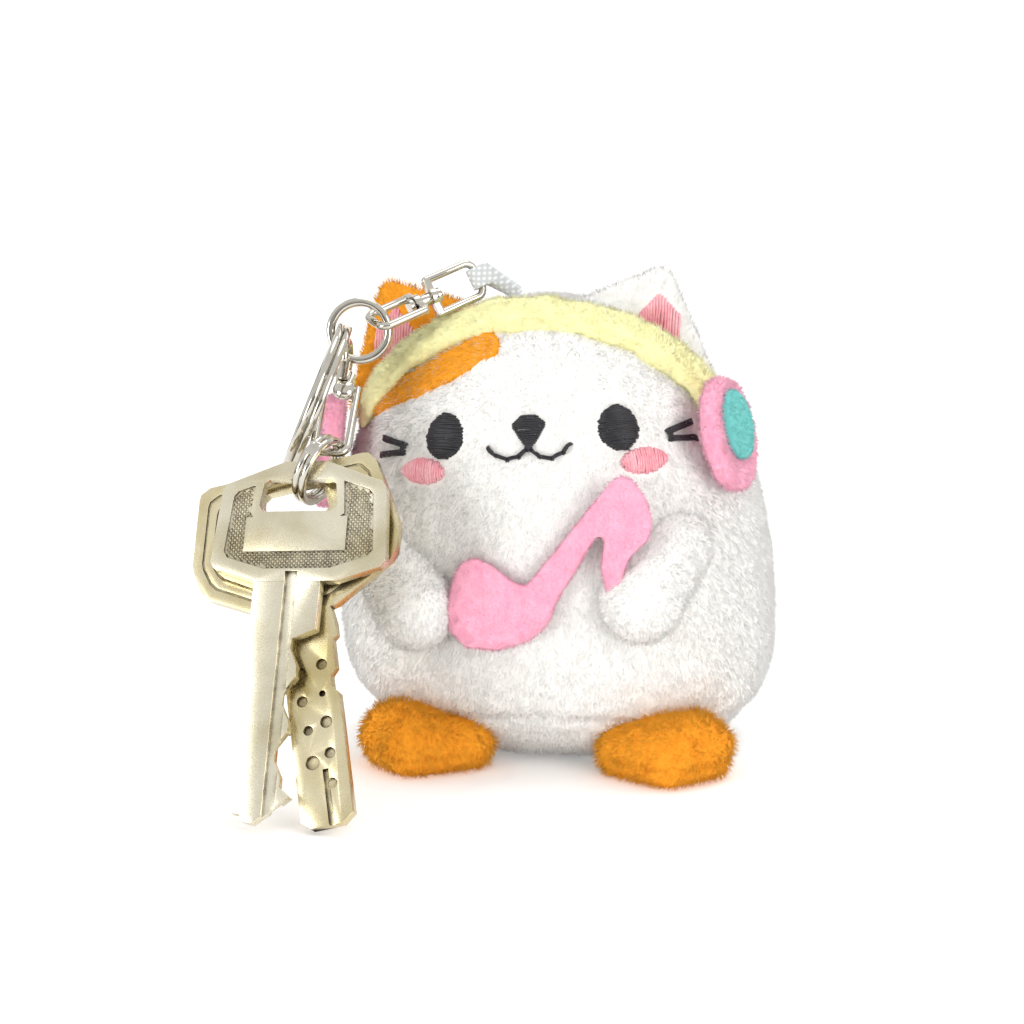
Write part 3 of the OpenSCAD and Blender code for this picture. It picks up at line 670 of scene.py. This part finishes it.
class KeychainMetal(bpy.types.PropertyGroup):
    """Sizes of the metal fittings and keys."""
    edge: FloatProperty(name="Edge", description="Width of the rounded edges of the keys",
                        default=0.14 * MM, min=0, max=0.4 * MM, unit="LENGTH")
    hatch: FloatProperty(name="Hatch", description="Spacing of the raised grid on the front key",
                         default=0.75 * MM, min=0.4 * MM, max=1.5 * MM, unit="LENGTH")
    gate: FloatProperty(name="Gate", description="How much thicker the clip's gate is than its CAD solid",
                        default=1.45, min=1, max=2)


class KeychainStage(bpy.types.PropertyGroup):
    """The floor, the lights and the camera."""
    floor_colour: FloatVectorProperty(name="Floor", description="Colour of the floor", size=4,
                                      subtype="COLOR", default=linear("#F4F4F3"), min=0, max=1)
    distance: FloatProperty(name="Distance", description="Distance of the camera from the plush",
                            default=0.56, min=0.2, max=2, unit="LENGTH")
    azimuth: FloatProperty(name="Azimuth", description="Angle of the camera round the plush",
                           default=math.radians(9.2), subtype="ANGLE")
    elevation: FloatProperty(name="Elevation", description="Angle of the camera above the floor",
                             default=math.radians(11.8), subtype="ANGLE")
    key_light: FloatProperty(name="Key light", description="Power of the main soft light",
                             default=4.3, min=0, max=50)


class KeychainSettings(bpy.types.PropertyGroup):
    """Every setting of the keychain."""
    colours: PointerProperty(type=KeychainColours)
    plush: PointerProperty(type=KeychainPlush)
    thread: PointerProperty(type=KeychainThread)
    metal: PointerProperty(type=KeychainMetal)
    stage: PointerProperty(type=KeychainStage)


def settings():
    """The keychain's settings in the present scene."""
    return bpy.context.scene.keychain


# ======== Stage ========
class KEYCHAIN_OT_stage(bpy.types.Operator):
    """Adds the floor, the soft lights and the camera"""
    bl_idname = "keychain.stage"
    bl_label = "Stage"

    def execute(self, context):
        look = settings().stage
        aim = Vector((0, 0, 36 * MM))
        rows, cols, reach, rise = 60, 24, 0.9, 0.5
        points, faces = [], []
        for i in range(rows):
            run = -0.7 + 1.9 * i / (rows - 1)
            bend = max(0.0, run - 0.35)
            y = min(run, 0.35) + rise * math.sin(min(bend / rise, math.pi / 2))
            z = rise * (1 - math.cos(min(bend / rise, math.pi / 2))) + max(0, bend - rise * math.pi / 2)
            for j in range(cols):
                points.append(np.array([-reach + 2 * reach * j / (cols - 1), y, z]) / MM)
        for i in range(rows - 1):
            for j in range(cols - 1):
                a = i * cols + j
                faces.append([a, a + 1, a + cols + 1, a + cols])
        mesh = bpy.data.meshes.new("backdrop")
        mesh.from_pydata([Vector(p) * MM for p in points], [], faces)
        mesh.polygons.foreach_set("use_smooth", np.full(len(faces), True))
        mesh.materials.append(studio_card("seamless_paper", tuple(look.floor_colour)))
        floor = bpy.data.objects.new("backdrop", mesh)
        context.scene.collection.objects.link(floor)

        for name, spot, size, power, tint in (
            ("key_light", (-0.68, -0.8, 0.22), 0.5, look.key_light, "#FFFFFF"),
            ("fill_light", (0.7, -0.6, 0.3), 0.6, look.key_light * 0.75, "#FFFDFA"),
            ("top_light", (0.1, 0.2, 0.95), 0.6, look.key_light * 0.45, "#FFFFFF"),
            ("back_light", (0.3, 0.75, 0.5), 0.5, look.key_light * 0.15, "#FFFFFF"),
        ):
            lamp = bpy.data.lights.new(name, "AREA")
            lamp.shape = "DISK"
            lamp.size = size
            lamp.energy = power
            lamp.color = linear(tint)[:3]
            # The soft boxes light the cloth, and only half show up in the metal
            lamp.specular_factor = 0.5
            light = bpy.data.objects.new(name, lamp)
            light.location = spot
            light.rotation_euler = (aim - Vector(spot)).to_track_quat("-Z", "Y").to_euler()
            context.scene.collection.objects.link(light)

        world = bpy.data.worlds.new("studio")
        context.scene.world = world
        world.use_nodes = True
        tree = world.node_tree
        tree.nodes.clear()
        way = add(tree, "ShaderNodeSeparateXYZ", {
            0: add(tree, "ShaderNodeTexCoord").outputs["Generated"]})
        # A dim room low down and in front, white panels above
        rise = add(tree, "ShaderNodeMath", {0: way.outputs["Y"], 1: 0.1, 2: way.outputs["Z"]},
                   operation="MULTIPLY_ADD")
        panel = add(tree, "ShaderNodeTexNoise", {
            "Vector": add(tree, "ShaderNodeTexCoord").outputs["Generated"], "Scale": 2.2,
            "Detail": 1.0})
        broken = add(tree, "ShaderNodeMath", {0: panel.outputs["Fac"], 1: 0.9, 2: rise.outputs[0]},
                     operation="MULTIPLY_ADD")
        level = add(tree, "ShaderNodeMapRange", {"Value": broken.outputs[0], "From Min": 0.38,
                                                 "From Max": 0.85})
        sky = add(tree, "ShaderNodeMix", {"Factor": level.outputs[0], "A": linear("#3B3631"),
                                          "B": linear("#FFFFFF")}, data_type="RGBA")
        shine = add(tree, "ShaderNodeBackground", {"Color": sky.outputs["Result"], "Strength": 0.88})
        out = add(tree, "ShaderNodeOutputWorld")
        tree.links.new(shine.outputs[0], out.inputs[0])

        lens = bpy.data.cameras.new("camera")
        lens.sensor_width = 36
        lens.lens = 124.0
        lens.shift_x = -0.0547
        lens.shift_y = 0.0015
        camera = bpy.data.objects.new("camera", lens)
        az, el = look.azimuth, look.elevation
        away = Vector((math.sin(az) * math.cos(el), -math.cos(az) * math.cos(el), math.sin(el)))
        camera.location = aim + look.distance * away
        camera.rotation_euler = (-away).to_track_quat("-Z", "Y").to_euler()
        context.scene.collection.objects.link(camera)
        context.scene.camera = camera
        context.scene.view_settings.view_transform = "Standard"
        return {"FINISHED"}


# ======== Body ========
class KEYCHAIN_OT_body(bpy.types.Operator):
    """Adds the plush body with its base panel and its stuffing"""
    bl_idname = "keychain.body"
    bl_label = "Body"

    def execute(self, context):
        lumps = settings().plush.lumps / MM
        rings, sides = 120, 200
        points = []
        for i in range(rings):
            ring = LOW_ANGLE + (math.pi / 2 - LOW_ANGLE) * i / rings
            points += [skin(ring, 2 * math.pi * j / sides) for j in range(sides)]
        points.append(leaned((0, 0, BODY_H)))
        low = points[:sides]
        middle = np.mean(low, axis=0)
        start = len(points)
        # The cloth turns under and meets the base panel
        points += [middle + (p - middle) * 0.92 + np.array([0, 0, 0.5]) for p in low]
        points.append(middle + np.array([0, 0, 0.7]))
        faces = grid_faces(rings, sides)
        faces += [[(rings - 1) * sides + j, (rings - 1) * sides + (j + 1) % sides, start - 1]
                  for j in range(sides)]
        faces += [[(j + 1) % sides, j, start + j, start + (j + 1) % sides] for j in range(sides)]
        faces += [[start + (j + 1) % sides, start + j, start + sides] for j in range(sides)]
        cover = mesh_object("body_cover_plush", points, faces, "white_plush")
        place = points_of(cover)
        lift = lumps * fbm(place, 7.0, 3) + 0.12 * fbm(place, 1.6, 2)
        # A seam runs low round the front, where the side cloth meets the base
        seam = np.exp(-((place[:, 2] - 7.6 - 1.2 * np.cos(place[:, 0] / 12)) / 0.75) ** 2)
        lift -= 0.55 * seam * (place[:, 1] < 12)
        lift[place[:, 2] < 1.5] *= 0.2
        push_out(cover, lift)
        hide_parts("body_cover")

        panel = soft_copy("base_panel_plush", "base_panel", "white_plush", 0.35, 2)
        # The panel's cloth takes part of the painted root shade
        mark_pile(panel, np.full(len(panel.data.vertices), 0.4))
        fill = soft_copy("stuffing_fibre", "stuffing", "polyester_fill", 1.6, 4)
        place = points_of(fill)
        push_out(fill, np.minimum(0.0, 0.7 * fbm(place, 5.0, 3) - 0.6))
        # The loose fill takes part of the painted root shade
        mark_pile(fill, np.full(len(fill.data.vertices), 0.5))
        return {"FINISHED"}


# ======== Ears ========
class KEYCHAIN_OT_ears(bpy.types.Operator):
    """Adds the orange ear and the white ear"""
    bl_idname = "keychain.ears"
    bl_label = "Ears"

    def execute(self, context):
        for side, slot in (("left", "orange_plush"), ("right", "white_plush")):
            ear = soft_copy(f"ear_{side}_plush", f"ear_{side}", slot, 0.5, 6)
            place = points_of(ear)
            middle = (place[:, 1].min() + place[:, 1].max()) / 2
            stuff_with_cloth(ear, lambda p, m=middle: np.abs(p[:, 1] - m) < 0.3, cap=0.5)
            push_out(ear, 0.22 * fbm(points_of(ear), 4.0, 3) - 0.15)
        return {"FINISHED"}


# ======== Headphones ========
class KEYCHAIN_OT_headphones(bpy.types.Operator):
    """Adds the padded headband, the two ear pads and their discs"""
    bl_idname = "keychain.headphones"
    bl_label = "Headphones"

    def execute(self, context):
        band = soft_copy("headband_plush", "headband", "yellow_plush", 0.5, 8)
        # The strip is sewn down at both ends, which stay, and bunches along its length
        stuff_with_cloth(band, lambda p: (np.abs(p[:, 0]) > 25.5), pressure=3.0, cap=0.45)
        place = points_of(band)
        bunch = fbm(place * np.array([1, 0.45, 1]), 5.5, 3)
        push_out(band, 0.8 * bunch + 0.15)
        for side in ("left", "right"):
            pad = soft_copy(f"cup_pad_{side}_plush", f"cup_pad_{side}", "pink_plush", 0.4, 8)
            push_out(pad, 0.18 * fbm(points_of(pad), 4.0, 3) - 0.1)
            disc = soft_copy(f"cup_disc_{side}_plush", f"cup_disc_{side}", "teal_plush", 0.3, 6)
            push_out(disc, 0.12 * fbm(points_of(disc), 3.0, 3))
        return {"FINISHED"}


class KEYCHAIN_OT_patch(bpy.types.Operator):
    """Adds the orange plush patch under the left half of the headband"""
    bl_idname = "keychain.patch"
    bl_label = "Head patch"

    def execute(self, context):
        patch = soft_copy("head_patch_plush", "head_patch", "orange_plush", 0.32, 8)
        # The lower side spreads down over the brow, and stays as high over the cloth as it was
        ground = tree_of(bpy.data.objects["body_cover_plush"])
        place = points_of(patch)
        low, high = place.min(0), place.max(0)
        along = np.array([high[0] - low[0], high[2] - low[2]])
        along /= np.linalg.norm(along)
        for k, spot in enumerate(place):
            below = (spot[0] - low[0]) * along[1] - (spot[2] - low[2]) * along[0]
            if below > 0:
                moved = spot + 0.45 * below * np.array([along[1], 0, -along[0]])
                hits = [ground.ray_cast(Vector((p[0], -60, p[2])) * MM, Vector((0, 1, 0)))[0]
                        for p in (spot, moved)]
                if all(hit is not None for hit in hits):
                    moved[1] += (hits[1].y - hits[0].y) / MM
                    place[k] = moved
        set_points(patch, place)
        push_out(patch, 0.15 * fbm(place, 3.0, 3))
        return {"FINISHED"}


# ======== Embroidery ========
def satin(strokes, ground, thread, lift, rng):
    """Threads over a surface. Each stroke is (origin, axes, start, end) with its ends in the
    plane's two directions; the thread dives into the cloth at both ends."""
    parts = []
    reach = 5.0
    for origin, (right, up, out), start, end in strokes:
        path = []
        count = max(5, int(np.linalg.norm(np.subtract(end, start)) / 0.45))
        for k in range(count + 1):
            t = k / count
            u, v = np.asarray(start) * (1 - t) + np.asarray(end) * t
            spot = origin + u * right + v * up + reach * out
            hit = ground.ray_cast(Vector(spot) * MM, Vector(-out))
            if hit[0] is None:
                continue
            base = np.array(hit[0]) / MM
            arch = math.sin(math.pi * min(1, max(0, t))) ** 0.35
            path.append(base + np.array(hit[1]) * (lift * arch - 0.25 * (1 - arch)))
        if len(path) > 3:
            size = thread / 2 * (0.9 + 0.2 * rng.random())
            parts.append(tube(path, size, sides=7, flat=0.85))
    return parts


def ellipse_rows(width, height, pitch, upright, rng):
    """Stroke ends that fill an ellipse, across it or, if upright, up it."""
    long_side, short = (height, width) if upright else (width, height)
    rows = int(short / pitch)
    out = []
    for k in range(rows + 1):
        place = -short / 2 + short * (k + 0.5) / (rows + 1)
        half = long_side / 2 * math.sqrt(max(0.05, 1 - (2 * place / short) ** 2))
        a, b = (half + 0.3 * (rng.random() - 0.5) for _ in range(2))
        skew = 0.16 * (rng.random() - 0.5)
        ends = ((-a, place - skew), (b, place + skew))
        out.append(tuple((v, u) for u, v in ends) if upright else ends)
    return out


class KEYCHAIN_OT_face(bpy.types.Operator):
    """Adds the embroidered eyes, nose, mouth, cheeks, whiskers and ear linings"""
    bl_idname = "keychain.face"
    bl_label = "Embroidery"

    def execute(self, context):
        look = settings().thread
        pitch, thread, lift = look.pitch / MM, look.thickness / MM, look.raise_by / MM
        ground = tree_of(bpy.data.objects["body_cover_plush"])
        rng = np.random.default_rng(11)
        sides = (("left", -1), ("right", 1))
        for name, side in sides:
            origin, axes = face_plane(side * 13.4, 52.8)
            rows = ellipse_rows(6.3, 7.0, pitch, False, rng) + ellipse_rows(5.4, 6.0, pitch * 1.6, False, rng)
            self.sew(f"eye_{name}", [(origin, axes, *r) for r in rows], ground, thread, lift, rng,
                     "black_thread")
            origin, axes = face_plane(side * 17, 47.7)
            rows = ellipse_rows(7.3, 4.0, pitch * 1.35, True, rng)
            self.sew(f"cheek_{name}", [(origin, axes, *r) for r in rows], ground, thread,
                     lift * 0.9, rng, "pink_thread")
            origin, axes = face_plane(side * 22.3, 50.8)
            strokes = []
            for up in (-1, 1):
                for k in range(3):
                    off = (k - 1) * 0.3
                    strokes.append(((side * -2.6, up * 0.55 + off), (side * 2.8, up * 1.4 + off)))
            for k in range(3):
                strokes.append(((side * (-2.7 + 0.25 * k), -0.95), (side * (-2.7 + 0.25 * k), 0.95)))
            self.sew(f"whiskers_{name}", [(origin, axes, *s) for s in strokes], ground,
                     thread * 1.05, lift * 0.8, rng, "black_thread")
        self.nose_and_mouth(ground, pitch, thread, lift, rng)
        for name, side in sides:
            self.ear_lining(name, side, pitch, thread, lift, rng)
        return {"FINISHED"}

    def sew(self, node, strokes, ground, thread, lift, rng, slot):
        """One embroidered piece in place of its CAD node."""
        points, faces = joined(satin(strokes, ground, thread, lift, rng))
        piece = mesh_object(node + "_stitches", points, faces, slot)
        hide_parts(node)
        keep_clear.append(piece)
        return piece

    def nose_and_mouth(self, ground, pitch, thread, lift, rng):
        """The nose is a filled triangle and the mouth two hooks of overlapping stitches."""
        origin, axes = face_plane(0, 53.2)
        strokes = []
        rows = int(4.3 / pitch)
        for k in range(rows + 1):
            v = -2.1 + 4.3 * k / rows
            half = 0.6 + 1.9 * min(1, (v + 2.1) / 2.9) ** 0.8
            if v > 1.3:
                half -= (v - 1.3) * 1.1
            strokes.append((origin, axes, (-half - 0.1 * rng.random(), v), (half, v + 0.08)))
        origin, axes = face_plane(0, 50)
        for side in (-1, 1):
            line = [(0.0, 1.3), (0.35, 0.3), (1.6, -0.75), (3.4, -1.1), (5.2, -0.3), (6.3, 1.0)]
            line = [(side * x, y + 0.3) for x, y in line]
            for a, b in zip(line, line[1:]):
                for off in (-0.16, 0.12):
                    far = np.subtract(b, a)
                    cross = np.array([-far[1], far[0]]) / np.linalg.norm(far) * off
                    strokes.append((origin, axes, tuple(a + cross - 0.15 * far),
                                    tuple(b + cross + 0.15 * far)))
        self.sew("nose_mouth", strokes, ground, thread * 0.9, lift, rng, "black_thread")

    def ear_lining(self, name, side, pitch, thread, lift, rng):
        """Upright stitches fill a rounded triangle on the front of an ear."""
        low, high = (np.array(v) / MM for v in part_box(f"ear_lining_{name}"))
        centre = (low + high) / 2
        half = (high - low) / 2
        ear = tree_of(bpy.data.objects[f"ear_{name}_plush"])
        axes = (np.array([1.0, 0, 0]), np.array([0, 0, 1.0]), np.array([0, -1.0, 0]))
        strokes = []
        count = int(2 * half[0] / pitch / 1.35)
        peak = 0.3 * side
        for k in range(count + 1):
            t = -1 + 2 * k / count
            top = 1 - abs(t - peak) / (1 + abs(peak)) * 1.5
            bottom = -1 + 0.35 * abs(t) - 0.3 * t * side
            if top <= bottom + 0.2:
                continue
            jitter = 0.25 * rng.random()
            strokes.append((centre, axes, (t * half[0], bottom * half[2] + jitter),
                            (t * half[0] + 0.15, top * half[2] - jitter)))
        points, faces = joined(satin(strokes, ear, thread, lift * 0.7, rng))
        piece = mesh_object(f"ear_lining_{name}_stitches", points, faces, "pink_thread")
        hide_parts(f"ear_lining_{name}")
        keep_clear.append(piece)


# ======== Limbs and note ========
class KEYCHAIN_OT_limbs(bpy.types.Operator):
    """Adds the arms and the feet"""
    bl_idname = "keychain.limbs"
    bl_label = "Arms and feet"

    def execute(self, context):
        for side in ("left", "right"):
            arm = soft_copy(f"arm_{side}_plush", f"arm_{side}", "white_plush", 0.5, 10)
            middle = points_of(arm).mean(0)
            stuff_with_cloth(arm, lambda p, m=middle: p[:, 1] > m[1] + 2.0, cap=0.5)
            place = points_of(arm)
            # The stuffed paw presses forward, over the edge of what it holds
            low_part = np.clip((37 - place[:, 2]) / 9, 0, 1)
            front_part = np.clip((middle[1] + 3 - place[:, 1]) / 6, 0, 1)
            place[:, 1] -= 3.4 * low_part * front_part
            set_points(arm, place)
            push_out(arm, 0.3 * fbm(place, 4.5, 3) - 0.15)
            foot = soft_copy(f"foot_{side}_plush", f"foot_{side}", "orange_plush", 0.5, 10)
            # A seam runs round the foot a little above the floor
            stuff_with_cloth(foot, lambda p: np.abs(p[:, 2] - 3.0) < 0.35, cap=0.5)
            place = points_of(foot)
            seam = np.exp(-((place[:, 2] - 3.0) / 0.45) ** 2)
            lift = 0.35 * fbm(place, 3.5, 3) - 0.35 * seam
            lift[place[:, 2] < 0.6] = 0.0
            push_out(foot, lift)
        return {"FINISHED"}


class KEYCHAIN_OT_note(bpy.types.Operator):
    """Adds the soft music note that the cat holds"""
    bl_idname = "keychain.note"
    bl_label = "Music note"

    def execute(self, context):
        note = soft_copy("music_note_plush", "music_note", "pink_plush", 0.4, 7)
        place = points_of(note)
        middle = np.median(place[:, 1])
        stuff_with_cloth(note, lambda p, m=middle: np.abs(p[:, 1] - m) < 0.28, pressure=3.0, cap=0.4)
        push_out(note, 0.16 * fbm(points_of(note), 3.5, 3) - 0.1)
        return {"FINISHED"}


# ======== Ribbon ========
class KEYCHAIN_OT_ribbon(bpy.types.Operator):
    """Adds the woven ribbon loop that the swivel hangs from"""
    bl_idname = "keychain.ribbon"
    bl_label = "Ribbon"

    def execute(self, context):
        soft_copy("ribbon_loop_woven", "ribbon_loop", "woven_ribbon", 0.16, 3)
        return {"FINISHED"}


# ======== Metal ========
ROUNDED_FROM = math.radians(32)
SHARP_FROM = math.radians(38)


def metal_copy(name, node, slot, body, width):
    """A CAD metal node as its own piece with rounded edges and smooth curves."""
    mesh = bpy.data.meshes.new(name)
    work = bmesh.new()
    work.from_mesh(frame["nodes"][node].data)
    bmesh.ops.remove_doubles(work, verts=work.verts, dist=0.002 * MM)
    bmesh.ops.dissolve_limit(work, angle_limit=math.radians(1.0), verts=work.verts,
                             edges=work.edges)
    if width > 0:
        sharp = [e for e in work.edges
                 if len(e.link_faces) == 2 and e.calc_face_angle() > ROUNDED_FROM]
        bmesh.ops.bevel(work, geom=sharp, offset=width * MM, offset_type="OFFSET",
                        segments=2, profile=0.6, affect="EDGES", clamp_overlap=True)
    work.to_mesh(mesh)
    work.free()
    mesh.set_sharp_from_angle(angle=SHARP_FROM)
    mesh.polygons.foreach_set("use_smooth", np.full(len(mesh.polygons), True))
    mesh.update()
    piece = place_object(name, mesh, slot, body)
    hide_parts(node)
    return piece


class KEYCHAIN_OT_swivel(bpy.types.Operator):
    """Adds the wire swivel and its rivet"""
    bl_idname = "keychain.swivel"
    bl_label = "Swivel"

    def execute(self, context):
        for node, body in (("swivel_eye", "swivel_eye"), ("swivel_rivet", "swivel_eye"),
                           ("swivel_loop", "swivel_loop")):
            metal_copy(node + "_metal", node, "nickel_plate", body, 0.08)
        return {"FINISHED"}


class KEYCHAIN_OT_rings(bpy.types.Operator):
    """Adds the three split rings"""
    bl_idname = "keychain.rings"
    bl_label = "Split rings"

    def execute(self, context):
        for node, body in (("upper_split_ring", "upper_ring"), ("lower_split_ring", "lower_ring"),
                           ("large_split_ring", "large_ring")):
            metal_copy(node + "_metal", node, "nickel_plate", body, 0.06)
        return {"FINISHED"}


class KEYCHAIN_OT_clip(bpy.types.Operator):
    """Adds the snap clip: its wire, its gate and the gate's pin"""
    bl_idname = "keychain.clip"
    bl_label = "Snap clip"

    def execute(self, context):
        for node, body in (("clip_wire", "clip"), ("clip_gate_pin", "clip"), ("clip_gate", "gate")):
            part = metal_copy(node + "_metal", node, "nickel_plate", body, 0.12)
            if node == "clip_gate":
                self.thicken(part, settings().metal.gate)
        return {"FINISHED"}

    def thicken(self, gate, factor):
        """Widens the rolled strip of the gate about its own length."""
        place = points_of(gate)
        middle = place.mean(0)
        along = np.linalg.svd(place - middle, full_matrices=False)[2][0]
        off = (place - middle) - np.outer((place - middle) @ along, along)
        set_points(gate, place + off * (factor - 1))


class KEYCHAIN_OT_keys(bpy.types.Operator):
    """Adds the two keys"""
    bl_idname = "keychain.keys"
    bl_label = "Keys"

    def execute(self, context):
        edge = settings().metal.edge / MM
        front_key = metal_copy("key_front_metal", "key_front", "nickel_silver", "key_front", edge)
        self.hatch(front_key, settings().metal.hatch / MM)
        metal_copy("key_rear_metal", "key_rear", "brass_key", "key_rear", edge)
        return {"FINISHED"}


    def hatch(self, key, pitch):
        """Presses a grid of small raised points into the sunk field on both sides of a bow."""
        solid = tree_of(key)
        down = np.array([0.01, -0.506, -0.862])
        down /= np.linalg.norm(down)
        right = np.array([0.99, -0.14, 0.0])
        right -= (right @ down) * down
        right /= np.linalg.norm(right)
        face = np.cross(down, right)
        face *= -1 if face[1] > 0 else 1
        place = points_of(key)
        heights = place @ face
        centre = (place.max(0) + place.min(0)) / 2
        # Rays start above the bow and look for the field, which lies below the rim
        above, field_depth, tolerance, rise, reach = 3, 0.3, 0.04, 0.27, 60
        cells = []
        for side in (1, -1):
            level = (heights * side).max()
            for i in range(-reach, reach + 1):
                for j in range(-reach, reach + 1):
                    u, v = (i + j) * pitch / 2, (i - j) * pitch / 2
                    spots = [centre + (u + a) * right + (v + b) * down
                             for a, b in ((0, 0), (pitch / 2, 0), (-pitch / 2, 0), (0, pitch / 2),
                                          (0, -pitch / 2))]
                    spots = [p + side * face * (level + above - side * (p @ face)) for p in spots]
                    hits = [solid.ray_cast(Vector(p) * MM, Vector(-side * face), 4 * MM)[3]
                            for p in spots]
                    far = above + field_depth
                    if all(h is not None and abs(h / MM - far) < tolerance for h in hits):
                        base = [p - side * face * (far + 0.02) for p in spots]
                        cells.append((base, base[0] + side * face * rise))
        points, faces = [], []
        for base, top in cells:
            start = len(points)
            points += [base[1], base[3], base[2], base[4], top]
            faces += [[start + a, start + (a + 1) % 4, start + 4] for a in range(4)]
            faces.append([start + 3, start + 2, start + 1, start])
        if not cells:
            raise RuntimeError("the sunk field of the front key was not found")
        grid = mesh_object("key_hatch", points, faces, "nickel_silver", "key_front", smooth=False)
        work = bmesh.new()
        work.from_mesh(key.data)
        work.from_mesh(grid.data)
        work.to_mesh(key.data)
        work.free()
        old = grid.data
        bpy.data.objects.remove(grid)
        bpy.data.meshes.remove(old)


# ======== Pile ========
class KEYCHAIN_OT_pile(bpy.types.Operator):
    """Grows the short fibres of every plush piece"""
    bl_idname = "keychain.pile"
    bl_label = "Pile"

    def execute(self, context):
        look = settings().plush
        short, long_pile, density = look.pile / MM, look.long_pile / MM, look.density
        share = 1.0
        objects = bpy.data.objects
        stitches = tree_of(*keep_clear)
        cover = objects["body_cover_plush"]
        around = tree_of(*keep_clear, *(objects[n] for n in (
            "headband_plush", "head_patch_plush", "ear_left_plush", "ear_right_plush",
            "cup_pad_left_plush", "cup_pad_right_plush", "music_note_plush")))
        for k in range(3):
            grow_pile(f"body_pile_{k + 1}", cover, int(47000 * share), short, seed=21 + k,
                      blocker=around, reach=0.3)
        # The cloth under the fibres takes part of the painted root shade
        mark_pile(cover, np.full(len(cover.data.vertices), 0.45))
        for number, (name, length, lean, flow) in enumerate((
            ("ear_left_plush", long_pile * 0.8, 0.8, (0, 0, 1)),
            ("ear_right_plush", short, 0.8, (0, 0, 1)),
            ("headband_plush", short * 0.9, 0.6, (-1, 0, -0.3)),
            ("cup_pad_left_plush", short * 0.7, 0.5, (0, 0, -1)),
            ("cup_pad_right_plush", short * 0.7, 0.5, (0, 0, -1)),
            ("cup_disc_left_plush", short * 0.5, 0.5, (0, 0, -1)),
            ("cup_disc_right_plush", short * 0.5, 0.5, (0, 0, -1)),
            ("head_patch_plush", long_pile * 0.8, 1.2, (-1, 0, -0.8)),
            ("arm_left_plush", short, 0.8, (0, 0, -1)),
            ("arm_right_plush", short, 0.8, (0, 0, -1)),
            ("foot_left_plush", long_pile, 0.9, (0.4, -0.6, -0.5)),
            ("foot_right_plush", long_pile, 0.9, (-0.4, -0.6, -0.5)),
            ("music_note_plush", short * 0.55, 0.8, (0, 0, -1)),
        )):
            piece = objects[name]
            area = sum(p.area for p in piece.data.polygons) / MM ** 2
            thick = 1.6 if length < short * 0.8 else 1.25
            count = min(int(area * density * thick * 1.6 * share), 40000)
            grow_pile(name.replace("_plush", "_pile"), piece, count, length, seed=40 + number,
                      lean=lean, flow=flow, blocker=stitches if "ear" in name else None,
                      reach=0.25)
            # The cloth under the fibres takes part of the painted root shade
            mark_pile(piece, np.full(len(piece.data.vertices), 0.45))
        return {"FINISHED"}


class KEYCHAIN_PT_panel(bpy.types.Panel):
    """Shows the keychain's settings and its steps in the sidebar"""
    bl_idname = "KEYCHAIN_PT_panel"
    bl_label = "Plush Keychain"
    bl_space_type = "VIEW_3D"
    bl_region_type = "UI"
    bl_category = "Keychain"

    def draw(self, context):
        for group in ("colours", "plush", "thread", "metal", "stage"):
            box = self.layout.box()
            part = getattr(settings(), group)
            for name in part.__annotations__:
                box.prop(part, name)
        for step in STEPS:
            self.layout.operator(f"keychain.{step}")


STEPS = ("stage", "body", "ears", "headphones", "patch", "limbs", "note", "face", "ribbon",
         "swivel", "rings", "clip", "keys", "pile")
CLASSES = (KeychainColours, KeychainPlush, KeychainThread, KeychainMetal, KeychainStage, KeychainSettings,
           KEYCHAIN_OT_stage, KEYCHAIN_OT_body, KEYCHAIN_OT_ears, KEYCHAIN_OT_headphones,
           KEYCHAIN_OT_patch, KEYCHAIN_OT_limbs, KEYCHAIN_OT_note, KEYCHAIN_OT_face,
           KEYCHAIN_OT_ribbon, KEYCHAIN_OT_swivel, KEYCHAIN_OT_rings, KEYCHAIN_OT_clip,
           KEYCHAIN_OT_keys, KEYCHAIN_OT_pile, KEYCHAIN_PT_panel)


def register():
    for cls in CLASSES:
        bpy.utils.register_class(cls)
    bpy.types.Scene.keychain = PointerProperty(type=KeychainSettings)


def unregister():
    del bpy.types.Scene.keychain
    for cls in reversed(CLASSES):
        bpy.utils.unregister_class(cls)


def main():
    register()
    for step in STEPS:
        getattr(bpy.ops.keychain, step)()


if __name__ == "__main__":
    main()
